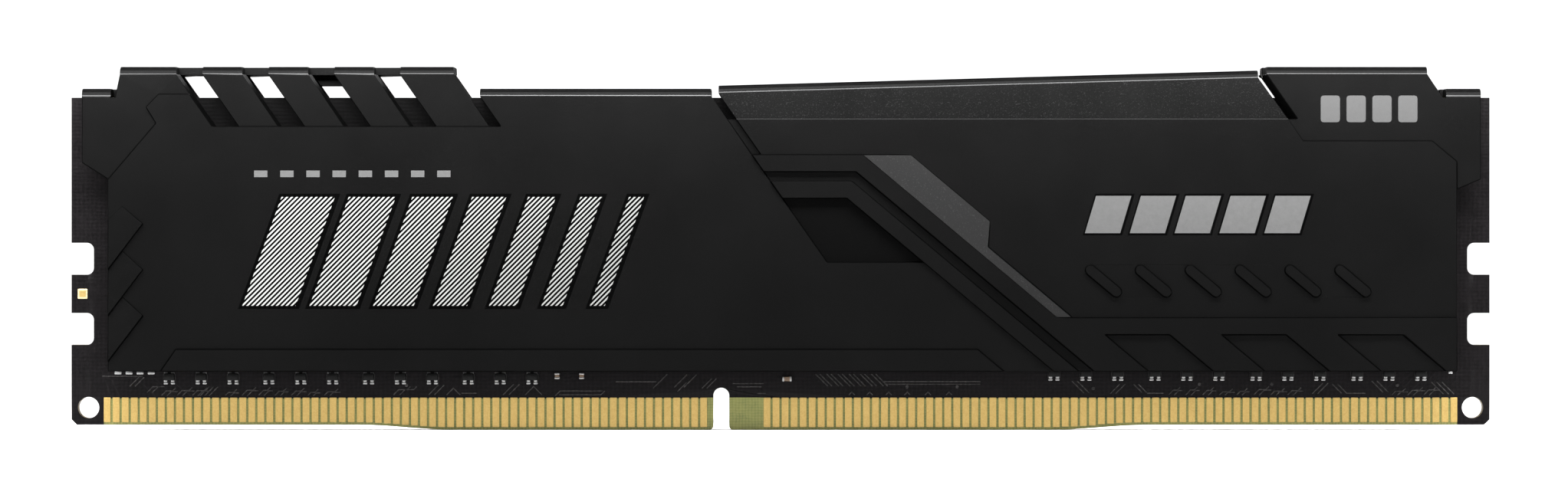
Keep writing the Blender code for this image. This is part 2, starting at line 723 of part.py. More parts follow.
def stripe_regions():
    """The two raised stripes, the channel and groove between them, the dark pocket and the band."""
    edge = (MIDDLE_RIGHT, BEND_LOW)          # the slanted edge of the left panel
    below = PLATE_BOTTOM - BEYOND
    bends = STRIPE_BENDS
    starts = [falls(edge, STEEP, z) for _, z in bends]
    feet = [falls(bend, SHALLOW, below) for bend in bends]
    upper = [starts[0], bends[0], falls(bends[0], SHALLOW, BAND_TOP), (BAND_END, BAND_TOP)]
    upper += [(BAND_END, below), feet[1], bends[1], starts[1]]
    channel = [starts[1], bends[1], feet[1], feet[2], bends[2], starts[2]]
    lower = [starts[2], bends[2], feet[2], feet[3], bends[3], starts[3]]
    pocket = [starts[3], bends[3], falls(bends[3], SHALLOW, POCKET_BOTTOM)]
    pocket.append(falls(edge, STEEP, POCKET_BOTTOM))
    rising_edge = (RISING_LEFT, RISING_LEFT_TOP - LIP_THICKNESS)
    groove = [falls(edge, STEEP, FOLD), falls(edge, STEEP, STRIPE_TOP)]
    groove += [falls(rising_edge, STEEP, STRIPE_TOP), falls(rising_edge, STEEP, FOLD)]
    depths = ((upper, RAISED), (channel, EAR), (lower, RAISED), (pocket, POCKET), (groove, POCKET))
    return [region(loop, depth) for loop, depth in depths]


def facet_region():
    """The facet that slopes from the upper stripe down to the right panel."""
    top = STRIPE_BENDS[0]

    def slope(x, z):
        across = x - falls(top, SHALLOW, z)[0]
        return RAISED - (RAISED - PANEL) * across / FACET_WIDTH

    far_top = (top[0] + FACET_WIDTH, STRIPE_TOP)
    near_low = falls(top, SHALLOW, FACET_NARROW_START)
    narrow = (near_low[0] + FACET_NARROW, FACET_NARROW_START)
    loop = [falls(top, SHALLOW, BAND_TOP), falls(narrow, SHALLOW, BAND_TOP), narrow]
    loop += [falls(far_top, SHALLOW, FACET_WIDE_END), far_top, top]
    return region(loop, slope)


def band_regions():
    """The raised strip along the left panel and the open niches in the right band."""
    below = PLATE_BOTTOM - BEYOND
    fall = STRIP_LEFT[1] - below
    strip = [STRIP_LEFT, (STRIP_LEFT[0] - fall * STEEP, below)]
    strip += [falls(STRIP_RIGHT, SHALLOW, below), STRIP_RIGHT]
    regions = [region(strip, RAISED)]
    for number in range(NICHE_COUNT):
        start = (NICHE_START[0] + NICHE_PITCH * number, NICHE_START[1])
        end = (start[0] + NICHE_WIDTH, start[1])
        loop = [start, falls(start, SHALLOW, below), falls(end, SHALLOW, below), end]
        regions.append(region(loop, PANEL))
    return regions


def pill_regions():
    """Raised pills in a row on the right panel."""
    lean = math.degrees(math.atan2(1, SHALLOW))
    regions = []
    for number in range(PILL_COUNT):
        high = (PILL_START[0] + PILL_PITCH * number, PILL_START[1])
        low = (high[0] + PILL_RUN, high[1] - PILL_RUN / SHALLOW)
        loop = arc(high, PILL_RADIUS, 90 - lean, 270 - lean, PILL_STEPS)
        loop += arc(low, PILL_RADIUS, 270 - lean, 450 - lean, PILL_STEPS)
        regions.append(region(loop, RAISED))
    return regions


def hook_region():
    """The hook of the rear spreader, a bar across one window that holds the front one."""
    return region(rear_slot(HOOK_SLOT, HOOK_BOTTOM, HOOK_TOP), None, HOOK_DEPTH)


def make_spreader(name, facing, outline, windows, extra):
    whole = region(rectangle(EAR_LEFT - BEYOND, 0, EAR_RIGHT + BEYOND, PLATE_TOP + BEYOND), PANEL, INNER)
    regions = [whole] + ear_regions() + [leaning_region()] + chevron_regions()
    regions += stripe_regions() + [facet_region()] + band_regions() + pill_regions()
    plate(name, "black_aluminium", facing, outline, windows, regions + extra + lip_regions())


def make_spreaders():
    front = spreader_outline(open_slots(), front_corner_edge(), front_low_ends())
    make_spreader("heat_spreader_front", FRONT, front, [], front_walls())
    rear = spreader_outline([], rear_corner_edge(), rear_low_ends())
    make_spreader("heat_spreader_rear", REAR, rear, closed_slots(), [hook_region()])


def make_label():
    """A blank rating label on the rear spreader."""
    left, bottom, right, top = LABEL_BOX
    r = LABEL_RADIUS
    outline = arc((right - r, bottom + r), r, 270, 360, CORNER_STEPS)
    outline += arc((right - r, top - r), r, 0, 90, CORNER_STEPS)
    outline += arc((left + r, top - r), r, 90, 180, CORNER_STEPS)
    outline += arc((left + r, bottom + r), r, 180, 270, CORNER_STEPS)
    near = PANEL + SEAT
    whole = region(outline, near + LABEL_THICKNESS, near)
    plate("rear_label", "label_film", REAR, outline, [], [whole])


def main():
    clear_scene()
    make_board()
    make_contacts()
    make_chips()
    make_thermal_pads()
    make_small_parts()
    make_spreaders()
    make_label()


main()
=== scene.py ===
"""Looks of a desktop memory module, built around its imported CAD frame.

X runs along the board, Z up from the contact edge, and -Y is the front. Plan points are (x, z)
in millimetres, and a depth is a distance in millimetres from the middle plane of the board.
"""

import math
import random
from collections import defaultdict

import bmesh
import bpy
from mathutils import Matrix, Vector
from mathutils.geometry import delaunay_2d_cdt


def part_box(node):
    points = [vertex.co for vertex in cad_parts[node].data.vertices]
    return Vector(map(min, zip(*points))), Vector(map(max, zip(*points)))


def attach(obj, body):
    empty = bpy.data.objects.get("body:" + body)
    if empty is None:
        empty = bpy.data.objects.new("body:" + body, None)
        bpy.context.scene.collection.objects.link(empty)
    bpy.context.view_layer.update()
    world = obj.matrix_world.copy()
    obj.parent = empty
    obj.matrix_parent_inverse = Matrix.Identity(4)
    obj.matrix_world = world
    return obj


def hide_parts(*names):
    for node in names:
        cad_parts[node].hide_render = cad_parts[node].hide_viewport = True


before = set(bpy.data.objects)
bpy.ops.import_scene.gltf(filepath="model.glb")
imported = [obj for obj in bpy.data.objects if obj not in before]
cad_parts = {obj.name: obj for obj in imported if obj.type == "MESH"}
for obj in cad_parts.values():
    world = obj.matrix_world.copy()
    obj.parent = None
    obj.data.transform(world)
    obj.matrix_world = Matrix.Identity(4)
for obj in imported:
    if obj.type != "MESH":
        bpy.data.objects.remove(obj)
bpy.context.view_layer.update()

MM = 0.001
FRONT = -1
REAR = 1
SIDES = (("front", FRONT), ("rear", REAR))
JOIN_WITHIN = 0.0005 * MM       # corners of a CAD mesh this close are one
MITRE_LEAST = 0.3               # keeps the mitre of a sharp corner short
EASED_ABOVE = math.radians(30)  # an edge that turns by less isn't rounded by soften()
CHIPS_PER_SIDE = 8

# Layers of the board, as depths
CORE_FACE = 0.68
MASK_FACE = 0.72
TRACE_FACE = 0.735
FINGER_FACE = 0.76
SUNK = 0.01                 # how far raised parts reach into the layer below them
BARE_ENDS = (0.0622, 0.0630)    # where the board's ends come out of the spreaders, in metres
BEHIND_SLOTS = (0.0222, 0.0230) # height from which the board is seen only through the slots, and where painted shade starts

# Contact fingers
FINGER_PITCH = 0.85
FINGER_WIDTH = 0.63
FINGER_TOP = 3.04
FINGER_FOOT = 0.25
LOWER_CORNERS = 2.5         # corners of the contact rows below this are the fingers' feet
FINGER_CORNER = 0.05
FINGER_EASE = 0.015         # height of the chamfer
FINGER_CHAMFER = 0.022      # and its width
TOOTH_DEPTH = 0.13
BELOW_EDGE = -1.0           # a height safely below the board
PAD_RIM = 0.15              # width of the test pad's rim

# Depths and rounding of the heat spreader
PANEL = 3.3
EAR_FACE = 3.1
POCKET_DEPTH = 2.9
DEPTH_MARGIN = 0.03
EDGE_ROUND = 0.07
EDGE_SHARE = 0.42           # most of the shortest edge nearby that the rounding may take
SHARP = math.radians(14)
SHALLOW_EDGE = math.radians(1.5)
SHALLOW_ROUND = 0.6         # share of the rounding that a shallow edge gets

# Where its finishes change
BEND_START = 31.2           # lowest bend of the lips
BEND_LEAST = 0.05           # upward slope at which a bend starts
BEND_SLOPES = (0.2, 0.5, 0.8)   # where the bend's curve, shade and lip start; below the first is the bend's painted highlight, above it ever darker painted shade
ENDWISE = 0.2               # a face that points further along the board is a cut edge
INWARDS = 0.5               # a face that points further towards the board is on the inside
WALL_TILT = 20.0            # tilts away from the front, in degrees
LEANING_TILT = 1.0
FACET_TILT = 1.5
FOLD_HEIGHT = 29.2
FOLD_ROUND = 0.035
POCKET_TOP = 21.9
CHANNEL_START = -7.0
CHANNEL_END = 40.0
CHANNEL_TOP = 25.0
SLOTS_END = -30.0
MIDDLE_END = 0.0

# Dark and light tone, roughness and specular level of each finish of the coat. A fifth number is
# the strength of its speckle, and a sixth is how metallic it is, which brightens the bends'
# painted highlight.
COATS = {
    "coat": (0.0018, 0.0024, 0.42, 0.052),
    # Steep walls and rounded edges: a darker coat, painted shade along every step.
    "coat_shaded_wall": (0.0008, 0.0011, 0.5, 0.005),
    # Bands of the lips' bends, by upward slope: a painted highlight low on the bend, then ever
    # darker painted shade up to the top.
    "coat_bend_highlight": (0.066, 0.080, 0.50, 0.10, 0.1, 0.6),
    "coat_soft_bend_highlight": (0.040, 0.050, 0.50, 0.08, 0.1, 0.6),
    "coat_curve_shade": (0.0020, 0.0026, 0.42, 0.024),
    "coat_shade": (0.0016, 0.0020, 0.45, 0.007),
    "coat_lip_shade": (0.0008, 0.0011, 0.5, 0.0),
    "coat_lean": (0.0020, 0.0029, 0.42, 0.040, 0.8),
    # The sloped facet by the first stripe gets a much lighter coat: a painted highlight.
    "coat_lit_facet": (0.010, 0.0115, 0.35, 0.12),
    "coat_pocket": (0.0016, 0.0019, 0.35, 0.018),
    "coat_channel": (0.0022, 0.0028, 0.45, 0.045),
    # A lighter line along the fold's rounding: painted highlight.
    "coat_fold_highlight": (0.010, 0.013, 0.40, 0.12),
    # Faces towards the board get a lighter coat: painted light where they sit in shade.
    "coat_lit_inside": (0.0035, 0.0050, 0.5, 0.03),
}
(
    PLAIN, SHADED_WALL, BEND_HIGHLIGHT, SOFT_BEND_HIGHLIGHT, CURVE_SHADE, SHADE, LIP_SHADE,
    LEANING, LIT_FACET, POCKET, CHANNEL, FOLD_HIGHLIGHT, LIT_INSIDE,
) = range(len(COATS))
ROUNDED = (BEND_HIGHLIGHT, SOFT_BEND_HIGHLIGHT, CURVE_SHADE, SHADE)

# Printed marks, at the front
INK = 0.012                 # thickness of the ink
INK_SUNK = 0.004
BACKING = 0.004             # thickness of the dark print under the marks
HATCH_BARS = 7
HATCH_LEFT = -50.4
HATCH_BOTTOM = 11.7
HATCH_HEIGHT = 10.2
HATCH_LEAN = 0.36
HATCH_WIDTH = 5.0           # of the first bar; the next ones shrink, and their gaps grow
HATCH_SHRINK = 0.6
HATCH_GAP = 1.3
HATCH_GAP_GROWTH = 0.25
HATCH_PITCH = 0.46
HATCH_STRIPE = 0.20
HATCH_BORDER = 0.3
HATCH_FADE = (-0.050, -0.014)   # where its ink starts and ends getting darker, in metres
HATCH_REACH = 30.0          # length of a stripe along X before it is cut to the bar
HATCH_BEYOND = 16.0         # how far right of a bar the last stripe may start
DASH = (-49.3, 23.75, 1.25, 0.62)   # left, bottom, width and height of the first one
DASH_COUNT = 8
DASH_PITCH = 2.45
BAR = (28.5, 18.5, 3.3, 3.5)        # left, bottom, width and height of the first one
BAR_COUNT = 5
BAR_PITCH = 4.2
BAR_BORDER = 0.2
BAR_LEAN = 0.30
BLOCK = (50.6, 28.9, 52.4, 31.4)    # left, bottom, right and top of the first one
BLOCK_COUNT = 4
BLOCK_PITCH = 2.42
LABEL_MARGIN = 1.2
LABEL_LINE = 0.25


# ------------ materials

def grey(value):
    return (value, value, value)


def scaled(colour, factor):
    """A colour made darker or lighter, no lighter than white."""
    return tuple(min(1.0, factor * channel) for channel in colour)


WAVES_PER_UNIT = 20.0 / (2 * math.pi)   # ridges the wave texture makes per metre at scale 1


class Surface:
    """One procedural material, with short calls for the nodes that most of them share."""

    def __init__(self, name, colour, roughness, metallic=0.0, specular=0.5):
        self.material = bpy.data.materials.new(name)
        self.material.use_nodes = True
        self.nodes = self.material.node_tree.nodes
        self.links = self.material.node_tree.links
        self.shader = self.nodes["Principled BSDF"]
        self.shader.inputs["Base Color"].default_value = (*colour, 1.0)
        self.shader.inputs["Roughness"].default_value = roughness
        self.shader.inputs["Metallic"].default_value = metallic
        self.shader.inputs["Specular IOR Level"].default_value = specular
        self.place = self.nodes.new("ShaderNodeTexCoord").outputs["Object"]
        self.height = None

    def node(self, kind, settings, **sources):
        """A new node, with the values of some inputs and the outputs that feed others."""
        node = self.nodes.new(kind)
        for name, value in settings.items():
            node.inputs[name].default_value = value
        for name, output in sources.items():
            self.links.new(output, node.inputs[name])
        return node

    def mapped(self, stretch):
        """The position, stretched along each axis."""
        node = self.node("ShaderNodeMapping", {"Scale": stretch}, Vector=self.place)
        return node.outputs["Vector"]

    def noise(self, size, detail=2.0, rough=0.5, stretch=None):
        """Noise whose blots are about this many millimetres across."""
        place = self.mapped(stretch) if stretch else self.place
        settings = {"Scale": 1.0 / (size * MM), "Detail": detail, "Roughness": rough}
        return self.node("ShaderNodeTexNoise", settings, Vector=place).outputs["Fac"]

    def cells(self, size, feature="F1"):
        """Distance from the middle of cells about this many millimetres across."""
        settings = {"Scale": 1.0 / (size * MM)}
        node = self.node("ShaderNodeTexVoronoi", settings, Vector=self.place)
        node.feature = feature
        return node.outputs["Distance"]

    def wave(self, size, direction, distortion, detail):
        """Parallel ridges, this many millimetres apart."""
        scale = 1.0 / (size * MM) / WAVES_PER_UNIT
        settings = {"Scale": scale, "Distortion": distortion, "Detail": detail}
        node = self.node("ShaderNodeTexWave", settings, Vector=self.place)
        node.wave_type = "BANDS"
        node.bands_direction = direction
        return node.outputs["Fac"]

    def ranged(self, value, low, high, out_low=0.0, out_high=1.0):
        """The value, moved from one range to another and held inside it."""
        settings = {"From Min": low, "From Max": high, "To Min": out_low, "To Max": out_high}
        return self.node("ShaderNodeMapRange", settings, Value=value).outputs["Result"]

    def combined(self, first, second, operation):
        """Two values put together by one sum or product."""
        node = self.nodes.new("ShaderNodeMath")
        node.operation = operation
        self.links.new(first, node.inputs[0])
        self.links.new(second, node.inputs[1])
        return node.outputs["Value"]

    def axis(self, name):
        """One coordinate, in metres."""
        return self.node("ShaderNodeSeparateXYZ", {}, Vector=self.place).outputs[name]

    def between_ends(self):
        """1 on the middle of the board and 0 on its bare ends."""
        node = self.nodes.new("ShaderNodeMath")
        node.operation = "ABSOLUTE"
        self.links.new(self.axis("X"), node.inputs[0])
        return self.ranged(node.outputs["Value"], *BARE_ENDS, 1.0, 0.0)

    def blended(self, factor, first, second):
        """A colour between two colours, by a factor from 0 to 1. Each is a colour or an output."""
        node = self.nodes.new("ShaderNodeMix")
        node.data_type = "RGBA"
        self.links.new(factor, node.inputs[0])
        for socket, colour in ((node.inputs[6], first), (node.inputs[7], second)):
            if isinstance(colour, tuple):
                socket.default_value = (*colour, 1.0)
            else:
                self.links.new(colour, socket)
        return node.outputs[2]

    def colour(self, output):
        self.links.new(output, self.shader.inputs["Base Color"])

    def roughness(self, output):
        self.links.new(output, self.shader.inputs["Roughness"])

    def bump(self, height, strength, distance):
        """Adds relief, this many millimetres high."""
        settings = {"Strength": strength, "Distance": distance * MM}
        node = self.node("ShaderNodeBump", settings, Height=height)
        if self.height:
            self.links.new(self.height, node.inputs["Normal"])
        self.height = node.outputs["Normal"]
        self.links.new(self.height, self.shader.inputs["Normal"])


def coat_surface(name, dark_tone, light_tone, roughness, specular, speckle=0.35, metallic=0.0):
    """Fine matte black coat on aluminium: even grain, cloudy gloss and a few dust specks."""
    dark, light = grey(dark_tone), grey(light_tone)
    s = Surface(name, dark, roughness, metallic, specular)
    cloud = s.noise(9.0, 3.0, 0.6)
    grain = s.noise(0.16, 2.0, 0.7)
    fleck = s.ranged(s.noise(0.10, 0.0), 0.66, 0.78)
    tone = s.blended(s.ranged(cloud, 0.3, 0.7), dark, light)
    s.colour(s.blended(s.ranged(fleck, 0.0, 1.0, 0.0, speckle), tone, scaled(light, 4.0)))
    cloud_gloss = s.ranged(cloud, 0.3, 0.7, -0.03, 0.03)
    grain_gloss = s.ranged(grain, 0.3, 0.7, -0.04, 0.04)
    gloss = s.combined(cloud_gloss, grain_gloss, "ADD")
    s.roughness(s.ranged(gloss, -0.1, 0.1, roughness - 0.1, roughness + 0.1))
    s.bump(grain, 0.22, 0.010)
    s.bump(cloud, 0.05, 0.02)
    return s.material


def mask_surface(name, dark, light, roughness):
    """Black solder mask over glass cloth: brownish, grained, with the weave just visible.

    Behind the slots, in the spreader's shade, it is painted darker and neutral: painted shade.
    """
    s = Surface(name, dark, roughness, 0.0, 0.07)
    weave = s.combined(s.wave(0.42, "X", 1.5, 1.0), s.wave(0.36, "Z", 1.5, 1.0), "ADD")
    cloud = s.noise(2.4, 4.0, 0.65, (1.0, 1.0, 2.6))
    grain = s.noise(0.20, 3.0, 0.75)
    tone = s.blended(s.ranged(cloud, 0.35, 0.68), dark, light)
    tone = s.blended(s.ranged(weave, 0.4, 1.6, 0.0, 0.6), tone, scaled(light, 2.0))
    tone = s.blended(s.ranged(grain, 0.38, 0.62, 0.6, 0.0), tone, scaled(dark, 0.4))
    # Painted shade: the mask behind the slots, between the bare ends, darkens to a neutral
    # near-black.
    shade_from_height = s.ranged(s.axis("Z"), *BEHIND_SLOTS, 0.0, 0.8)
    covered = s.combined(shade_from_height, s.between_ends(), "MULTIPLY")
    s.colour(s.blended(covered, tone, grey(0.3 * dark[2])))
    s.roughness(s.ranged(cloud, 0.3, 0.7, roughness - 0.08, roughness + 0.1))
    s.bump(weave, 0.35, 0.014)
    s.bump(grain, 0.30, 0.014)
    return s.material


def laminate_surface():
    """Bare epoxy glass between the contacts: olive, with a fine woven mottle."""
    s = Surface("bare_laminate", (0.14, 0.15, 0.036), 0.45, 0.0, 0.35)
    weave = s.combined(s.wave(0.30, "X", 2.0, 1.0), s.wave(0.26, "Z", 2.0, 1.0), "ADD")
    cloud = s.noise(0.9, 4.0, 0.7)
    dark, light = (0.105, 0.120, 0.027), (0.185, 0.190, 0.050)
    tone = s.blended(s.ranged(cloud, 0.3, 0.7), dark, light)
    s.colour(s.blended(s.ranged(weave, 0.5, 1.7, 0.0, 0.5), tone, (0.235, 0.230, 0.075)))
    s.roughness(s.ranged(cloud, 0.3, 0.7, 0.38, 0.55))
    s.bump(weave, 0.3, 0.012)
    return s.material


def laminate_edge_surface():
    """The routed rim of the board: layers of cloth and resin, darker where the mask ran over."""
    s = Surface("laminate_rim", (0.16, 0.12, 0.05), 0.6, 0.0, 0.3)
    layers = s.wave(0.20, "Y", 1.2, 2.0)
    cloud = s.noise(0.5, 4.0, 0.7)
    dark, light = (0.045, 0.034, 0.018), (0.20, 0.15, 0.075)
    tone = s.blended(s.ranged(layers, 0.2, 0.8), dark, light)
    s.colour(s.blended(s.ranged(cloud, 0.45, 0.75, 0.0, 0.6), tone, (0.02, 0.017, 0.012)))
    s.roughness(s.ranged(cloud, 0.3, 0.7, 0.5, 0.75))
    s.bump(layers, 0.4, 0.02)
    s.bump(s.noise(0.08, 3.0, 0.7), 0.4, 0.01)
    return s.material


def gold_surface(name, dark, light):
    """Gold plating: fine mottle, and faint upright wipe marks from a socket's springs."""
    s = Surface(name, light, 0.42, 0.75, 0.5)
    mottle = s.noise(0.14, 3.0, 0.75)
    wipe = s.noise(0.09, 2.0, 0.6, (1.0, 1.0, 0.10))
    tone = s.blended(s.ranged(mottle, 0.32, 0.68), dark, light)
    s.colour(s.blended(s.ranged(wipe, 0.55, 0.8, 0.0, 0.35), tone, scaled(light, 1.15)))
    s.roughness(s.ranged(mottle, 0.3, 0.7, 0.34, 0.52))
    s.bump(mottle, 0.30, 0.012)
    s.bump(wipe, 0.12, 0.006)
    return s.material


def solder_surface(name, dark, light):
    """Tinned terminals and solder: silver, with a frosted skin."""
    s = Surface(name, dark, 0.36, 0.85)
    frost = s.noise(0.07, 3.0, 0.7)
    s.colour(s.blended(s.ranged(frost, 0.3, 0.7), dark, light))
    s.roughness(s.ranged(frost, 0.3, 0.7, 0.28, 0.48))
    s.bump(frost, 0.35, 0.014)
    return s.material


def resin_surface(name, dark, light, roughness, grain_size, specular):
    """Moulded or glazed dark body, with an even spark-eroded grain."""
    s = Surface(name, dark, roughness, 0.0, specular)
    grain = s.noise(grain_size, 3.0, 0.7)
    cloud = s.noise(20 * grain_size, 2.0)
    tone = s.blended(s.ranged(cloud, 0.3, 0.7), dark, light)
    s.colour(s.blended(s.ranged(grain, 0.55, 0.8, 0.0, 0.5), tone, scaled(light, 1.8)))
    s.roughness(s.ranged(grain, 0.3, 0.7, roughness - 0.1, roughness + 0.1))
    s.bump(grain, 0.35, 0.012)
    return s.material


def silicone_surface():
    """Thermal pad: soft grey silicone with a dimpled skin and tiny filler grains."""
    s = Surface("pad_silicone", (0.30, 0.32, 0.36), 0.75, 0.0, 0.3)
    dimples = s.cells(0.6, "SMOOTH_F1")
    filler = s.noise(0.08, 3.0, 0.8)
    dark, light = (0.26, 0.28, 0.32), (0.34, 0.36, 0.40)
    tone = s.blended(s.ranged(dimples, 0.0, 0.6), dark, light)
    s.colour(s.blended(s.ranged(filler, 0.6, 0.8, 0.0, 0.6), tone, (0.50, 0.52, 0.55)))
    s.roughness(s.ranged(filler, 0.3, 0.7, 0.68, 0.85))
    s.bump(dimples, 0.4, 0.05)
    s.bump(filler, 0.3, 0.01)
    return s.material


def ink_surface(name, light, worn, right_end=None):
    """Screen-printed ink: a fine mesh texture, with pinholes and slightly uneven cover.

    With a colour for the right end, the ink darkens to it over the length of the hatched mark.
    """
    s = Surface(name, light, 0.5, 0.0, 0.35)
    cover = s.noise(0.5, 4.0, 0.7)
    pins = s.ranged(s.cells(0.12), 0.0, 0.25, 0.4, 0.0)
    tone = s.blended(s.ranged(cover, 0.3, 0.7), light, worn)
    if right_end:
        along = s.ranged(s.axis("X"), *HATCH_FADE)
        tone = s.blended(along, tone, right_end)
    s.colour(s.blended(pins, tone, scaled(worn, 0.8)))
    s.roughness(s.ranged(cover, 0.3, 0.7, 0.42, 0.60))
    s.bump(s.noise(0.07, 2.0), 0.25, 0.006)
    return s.material


def film_surface():
    """Label stock: light grey film with a paper-like tooth and faint handling marks."""
    s = Surface("label_film", (0.17, 0.17, 0.165), 0.5, 0.0, 0.4)
    tooth = s.noise(0.15, 3.0, 0.7)
    marks = s.noise(6.0, 4.0, 0.6)
    light, dark = (0.18, 0.18, 0.175), (0.155, 0.155, 0.15)
    tone = s.blended(s.ranged(marks, 0.35, 0.7), light, dark)
    s.colour(s.blended(s.ranged(tooth, 0.3, 0.7, 0.0, 0.3), tone, (0.20, 0.20, 0.195)))
    s.roughness(s.ranged(marks, 0.3, 0.7, 0.40, 0.58))
    s.bump(tooth, 0.2, 0.008)
    return s.material


def floor_surface():
    """Pale matte paper for the stage."""
    s = Surface("stage_paper", grey(0.90), 0.9, 0.0, 0.1)
    tooth = s.noise(3.0, 3.0)
    s.colour(s.blended(s.ranged(tooth, 0.3, 0.7), grey(0.89), grey(0.91)))
    return s.material


# ------------ mesh tools

def rectangle(left, bottom, right, top):
    return [(left, bottom), (right, bottom), (right, top), (left, top)]


def pairs(loop):
    """Each point of a closed loop with the next one."""
    return zip(loop, loop[1:] + loop[:1])


def inside(point, loop):
    """Whether a plan point lies inside a closed outline."""
    x, z = point
    found = False
    for (x1, z1), (x2, z2) in pairs(loop):
        crosses = (z1 > z) != (z2 > z)
        if crosses and x < x1 + (z - z1) * (x2 - x1) / (z2 - z1):
            found = not found
    return found


def node_mesh(name):
    """A copy of a CAD node's mesh, with its split corners joined."""
    mesh = bmesh.new()
    mesh.from_mesh(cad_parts[name].data)
    bmesh.ops.remove_doubles(mesh, verts=mesh.verts, dist=JOIN_WITHIN)
    return mesh


def merge_flat(mesh, within):
    """Makes neighbouring faces one where they turn by less than this, in degrees."""
    angle = math.radians(within)
    bmesh.ops.dissolve_limit(mesh, angle_limit=angle, verts=mesh.verts, edges=mesh.edges)


def plan_loops(name, facing):
    """Outline and holes of a node's flat face, longest first, as plan points."""
    mesh = node_mesh(name)
    links = defaultdict(list)
    for edge in mesh.edges:
        flat = [face for face in edge.link_faces if facing * face.normal.y > 0.99]
        if len(flat) == 1:
            a, b = edge.verts
            links[a].append(b)
            links[b].append(a)
    loops = []
    while links:
        start = next(iter(links))
        loop = [start]
        previous, current = None, start
        while True:
            following = [v for v in links[current] if v is not previous]
            previous, current = current, following[0]
            if current is start:
                break
            loop.append(current)
        for vertex in loop:
            del links[vertex]
        loops.append([(v.co.x / MM, v.co.z / MM) for v in loop])
    mesh.free()
    return sorted(loops, key=len, reverse=True)


def slab(loops, keep, facing, near, far):
    """A closed slab over the plan area that keep() accepts, between two depths."""
    points = []
    edges = []
    for loop in loops:
        first = len(points)
        count = len(loop)
        points += [Vector(point) for point in loop]
        edges += [(first + i, first + (i + 1) % count) for i in range(count)]
    corners, _, faces, _, _, _ = delaunay_2d_cdt(points, edges, [], 0, 1e-4, False)
    mesh = bmesh.new()
    made = {}

    def vertex(i, depth):
        if (i, depth) not in made:
            x, z = corners[i]
            made[i, depth] = mesh.verts.new((x * MM, facing * depth * MM, z * MM))
        return made[i, depth]

    sides = defaultdict(int)
    for face in faces:
        middle = (sum(corners[i].x for i in face) / 3, sum(corners[i].y for i in face) / 3)
        if not keep(middle):
            continue
        for depth in (near, far):
            mesh.faces.new([vertex(i, depth) for i in face])
        for a, b in pairs(face):
            sides[min(a, b), max(a, b)] += 1
    for (a, b), count in sides.items():
        if count == 1:
            mesh.faces.new([vertex(a, near), vertex(b, near), vertex(b, far), vertex(a, far)])
    merge_flat(mesh, 0.1)
    bmesh.ops.recalc_face_normals(mesh, faces=mesh.faces)
    return mesh


def add_skin(mesh, levels, material=0, smooth=False):
    """Closes a body: two caps, and sides between the levels, which are rings of its corners."""
    count = len(levels[0])
    faces = [mesh.faces.new(levels[0]), mesh.faces.new(levels[-1][::-1])]
    for low, high in zip(levels, levels[1:]):
        for i in range(count):
            j = (i + 1) % count
            faces.append(mesh.faces.new([low[j], low[i], high[i], high[j]]))
    for face in faces:
        face.material_index = material
        face.smooth = smooth
    bmesh.ops.recalc_face_normals(mesh, faces=faces)


def add_prism(mesh, outline, facing, rings, material=0):
    """Adds a closed prism; rings are (inset, depth) pairs, from the board outwards."""
    area = sum(x1 * z2 - x2 * z1 for (x1, z1), (x2, z2) in pairs(outline))
    turn = 1.0 if area > 0 else -1.0
    count = len(outline)
    levels = []
    for inset, depth in rings:
        level = []
        for i in range(count):
            before = Vector(outline[i - 1])
            here = Vector(outline[i])
            after = Vector(outline[(i + 1) % count])
            first = (here - before).normalized()
            second = (after - here).normalized()
            normal = Vector((-first.y - second.y, first.x + second.x)) * turn
            scale = inset / max(MITRE_LEAST, 1 + first.dot(second))
            x, z = here + normal * scale
            level.append(mesh.verts.new((x * MM, facing * depth * MM, z * MM)))
        levels.append(level)
    add_skin(mesh, levels, material)


def rounded(outline, radius, steps):
    """The outline with its corners rounded."""
    points = []
    count = len(outline)
    for i in range(count):
        before, here, after = (Vector(outline[j % count]) for j in (i - 1, i, i + 1))
        first = (before - here).normalized()
        second = (after - here).normalized()
        start = here + first * radius
        end = here + second * radius
        for step in range(steps + 1):
            t = step / steps
            point = (1 - t) ** 2 * start + 2 * t * (1 - t) * here + t * t * end
            points.append((point.x, point.y))
    return points


def add_ribbon(mesh, points, width, facing, near, far, material=0):
    """Adds a raised line along plan points, with sloping sides and mitred corners."""
    points = [Vector(point) for point in points]
    # Shares of the width, and depths
    profile = ((-0.5, near), (-0.28, far), (0.28, far), (0.5, near))
    rows = []
    for i, here in enumerate(points):
        first = (here - points[i - 1]).normalized() if i else (points[1] - here).normalized()
        second = (points[i + 1] - here).normalized() if i + 1 < len(points) else first
        normal = Vector((-first.y - second.y, first.x + second.x))
        normal = normal / max(MITRE_LEAST, 1 + first.dot(second))
        row = []
        for share, depth in profile:
            x, z = here + normal * share * width
            row.append(mesh.verts.new((x * MM, facing * depth * MM, z * MM)))
        rows.append(row)
    add_skin(mesh, rows, material)


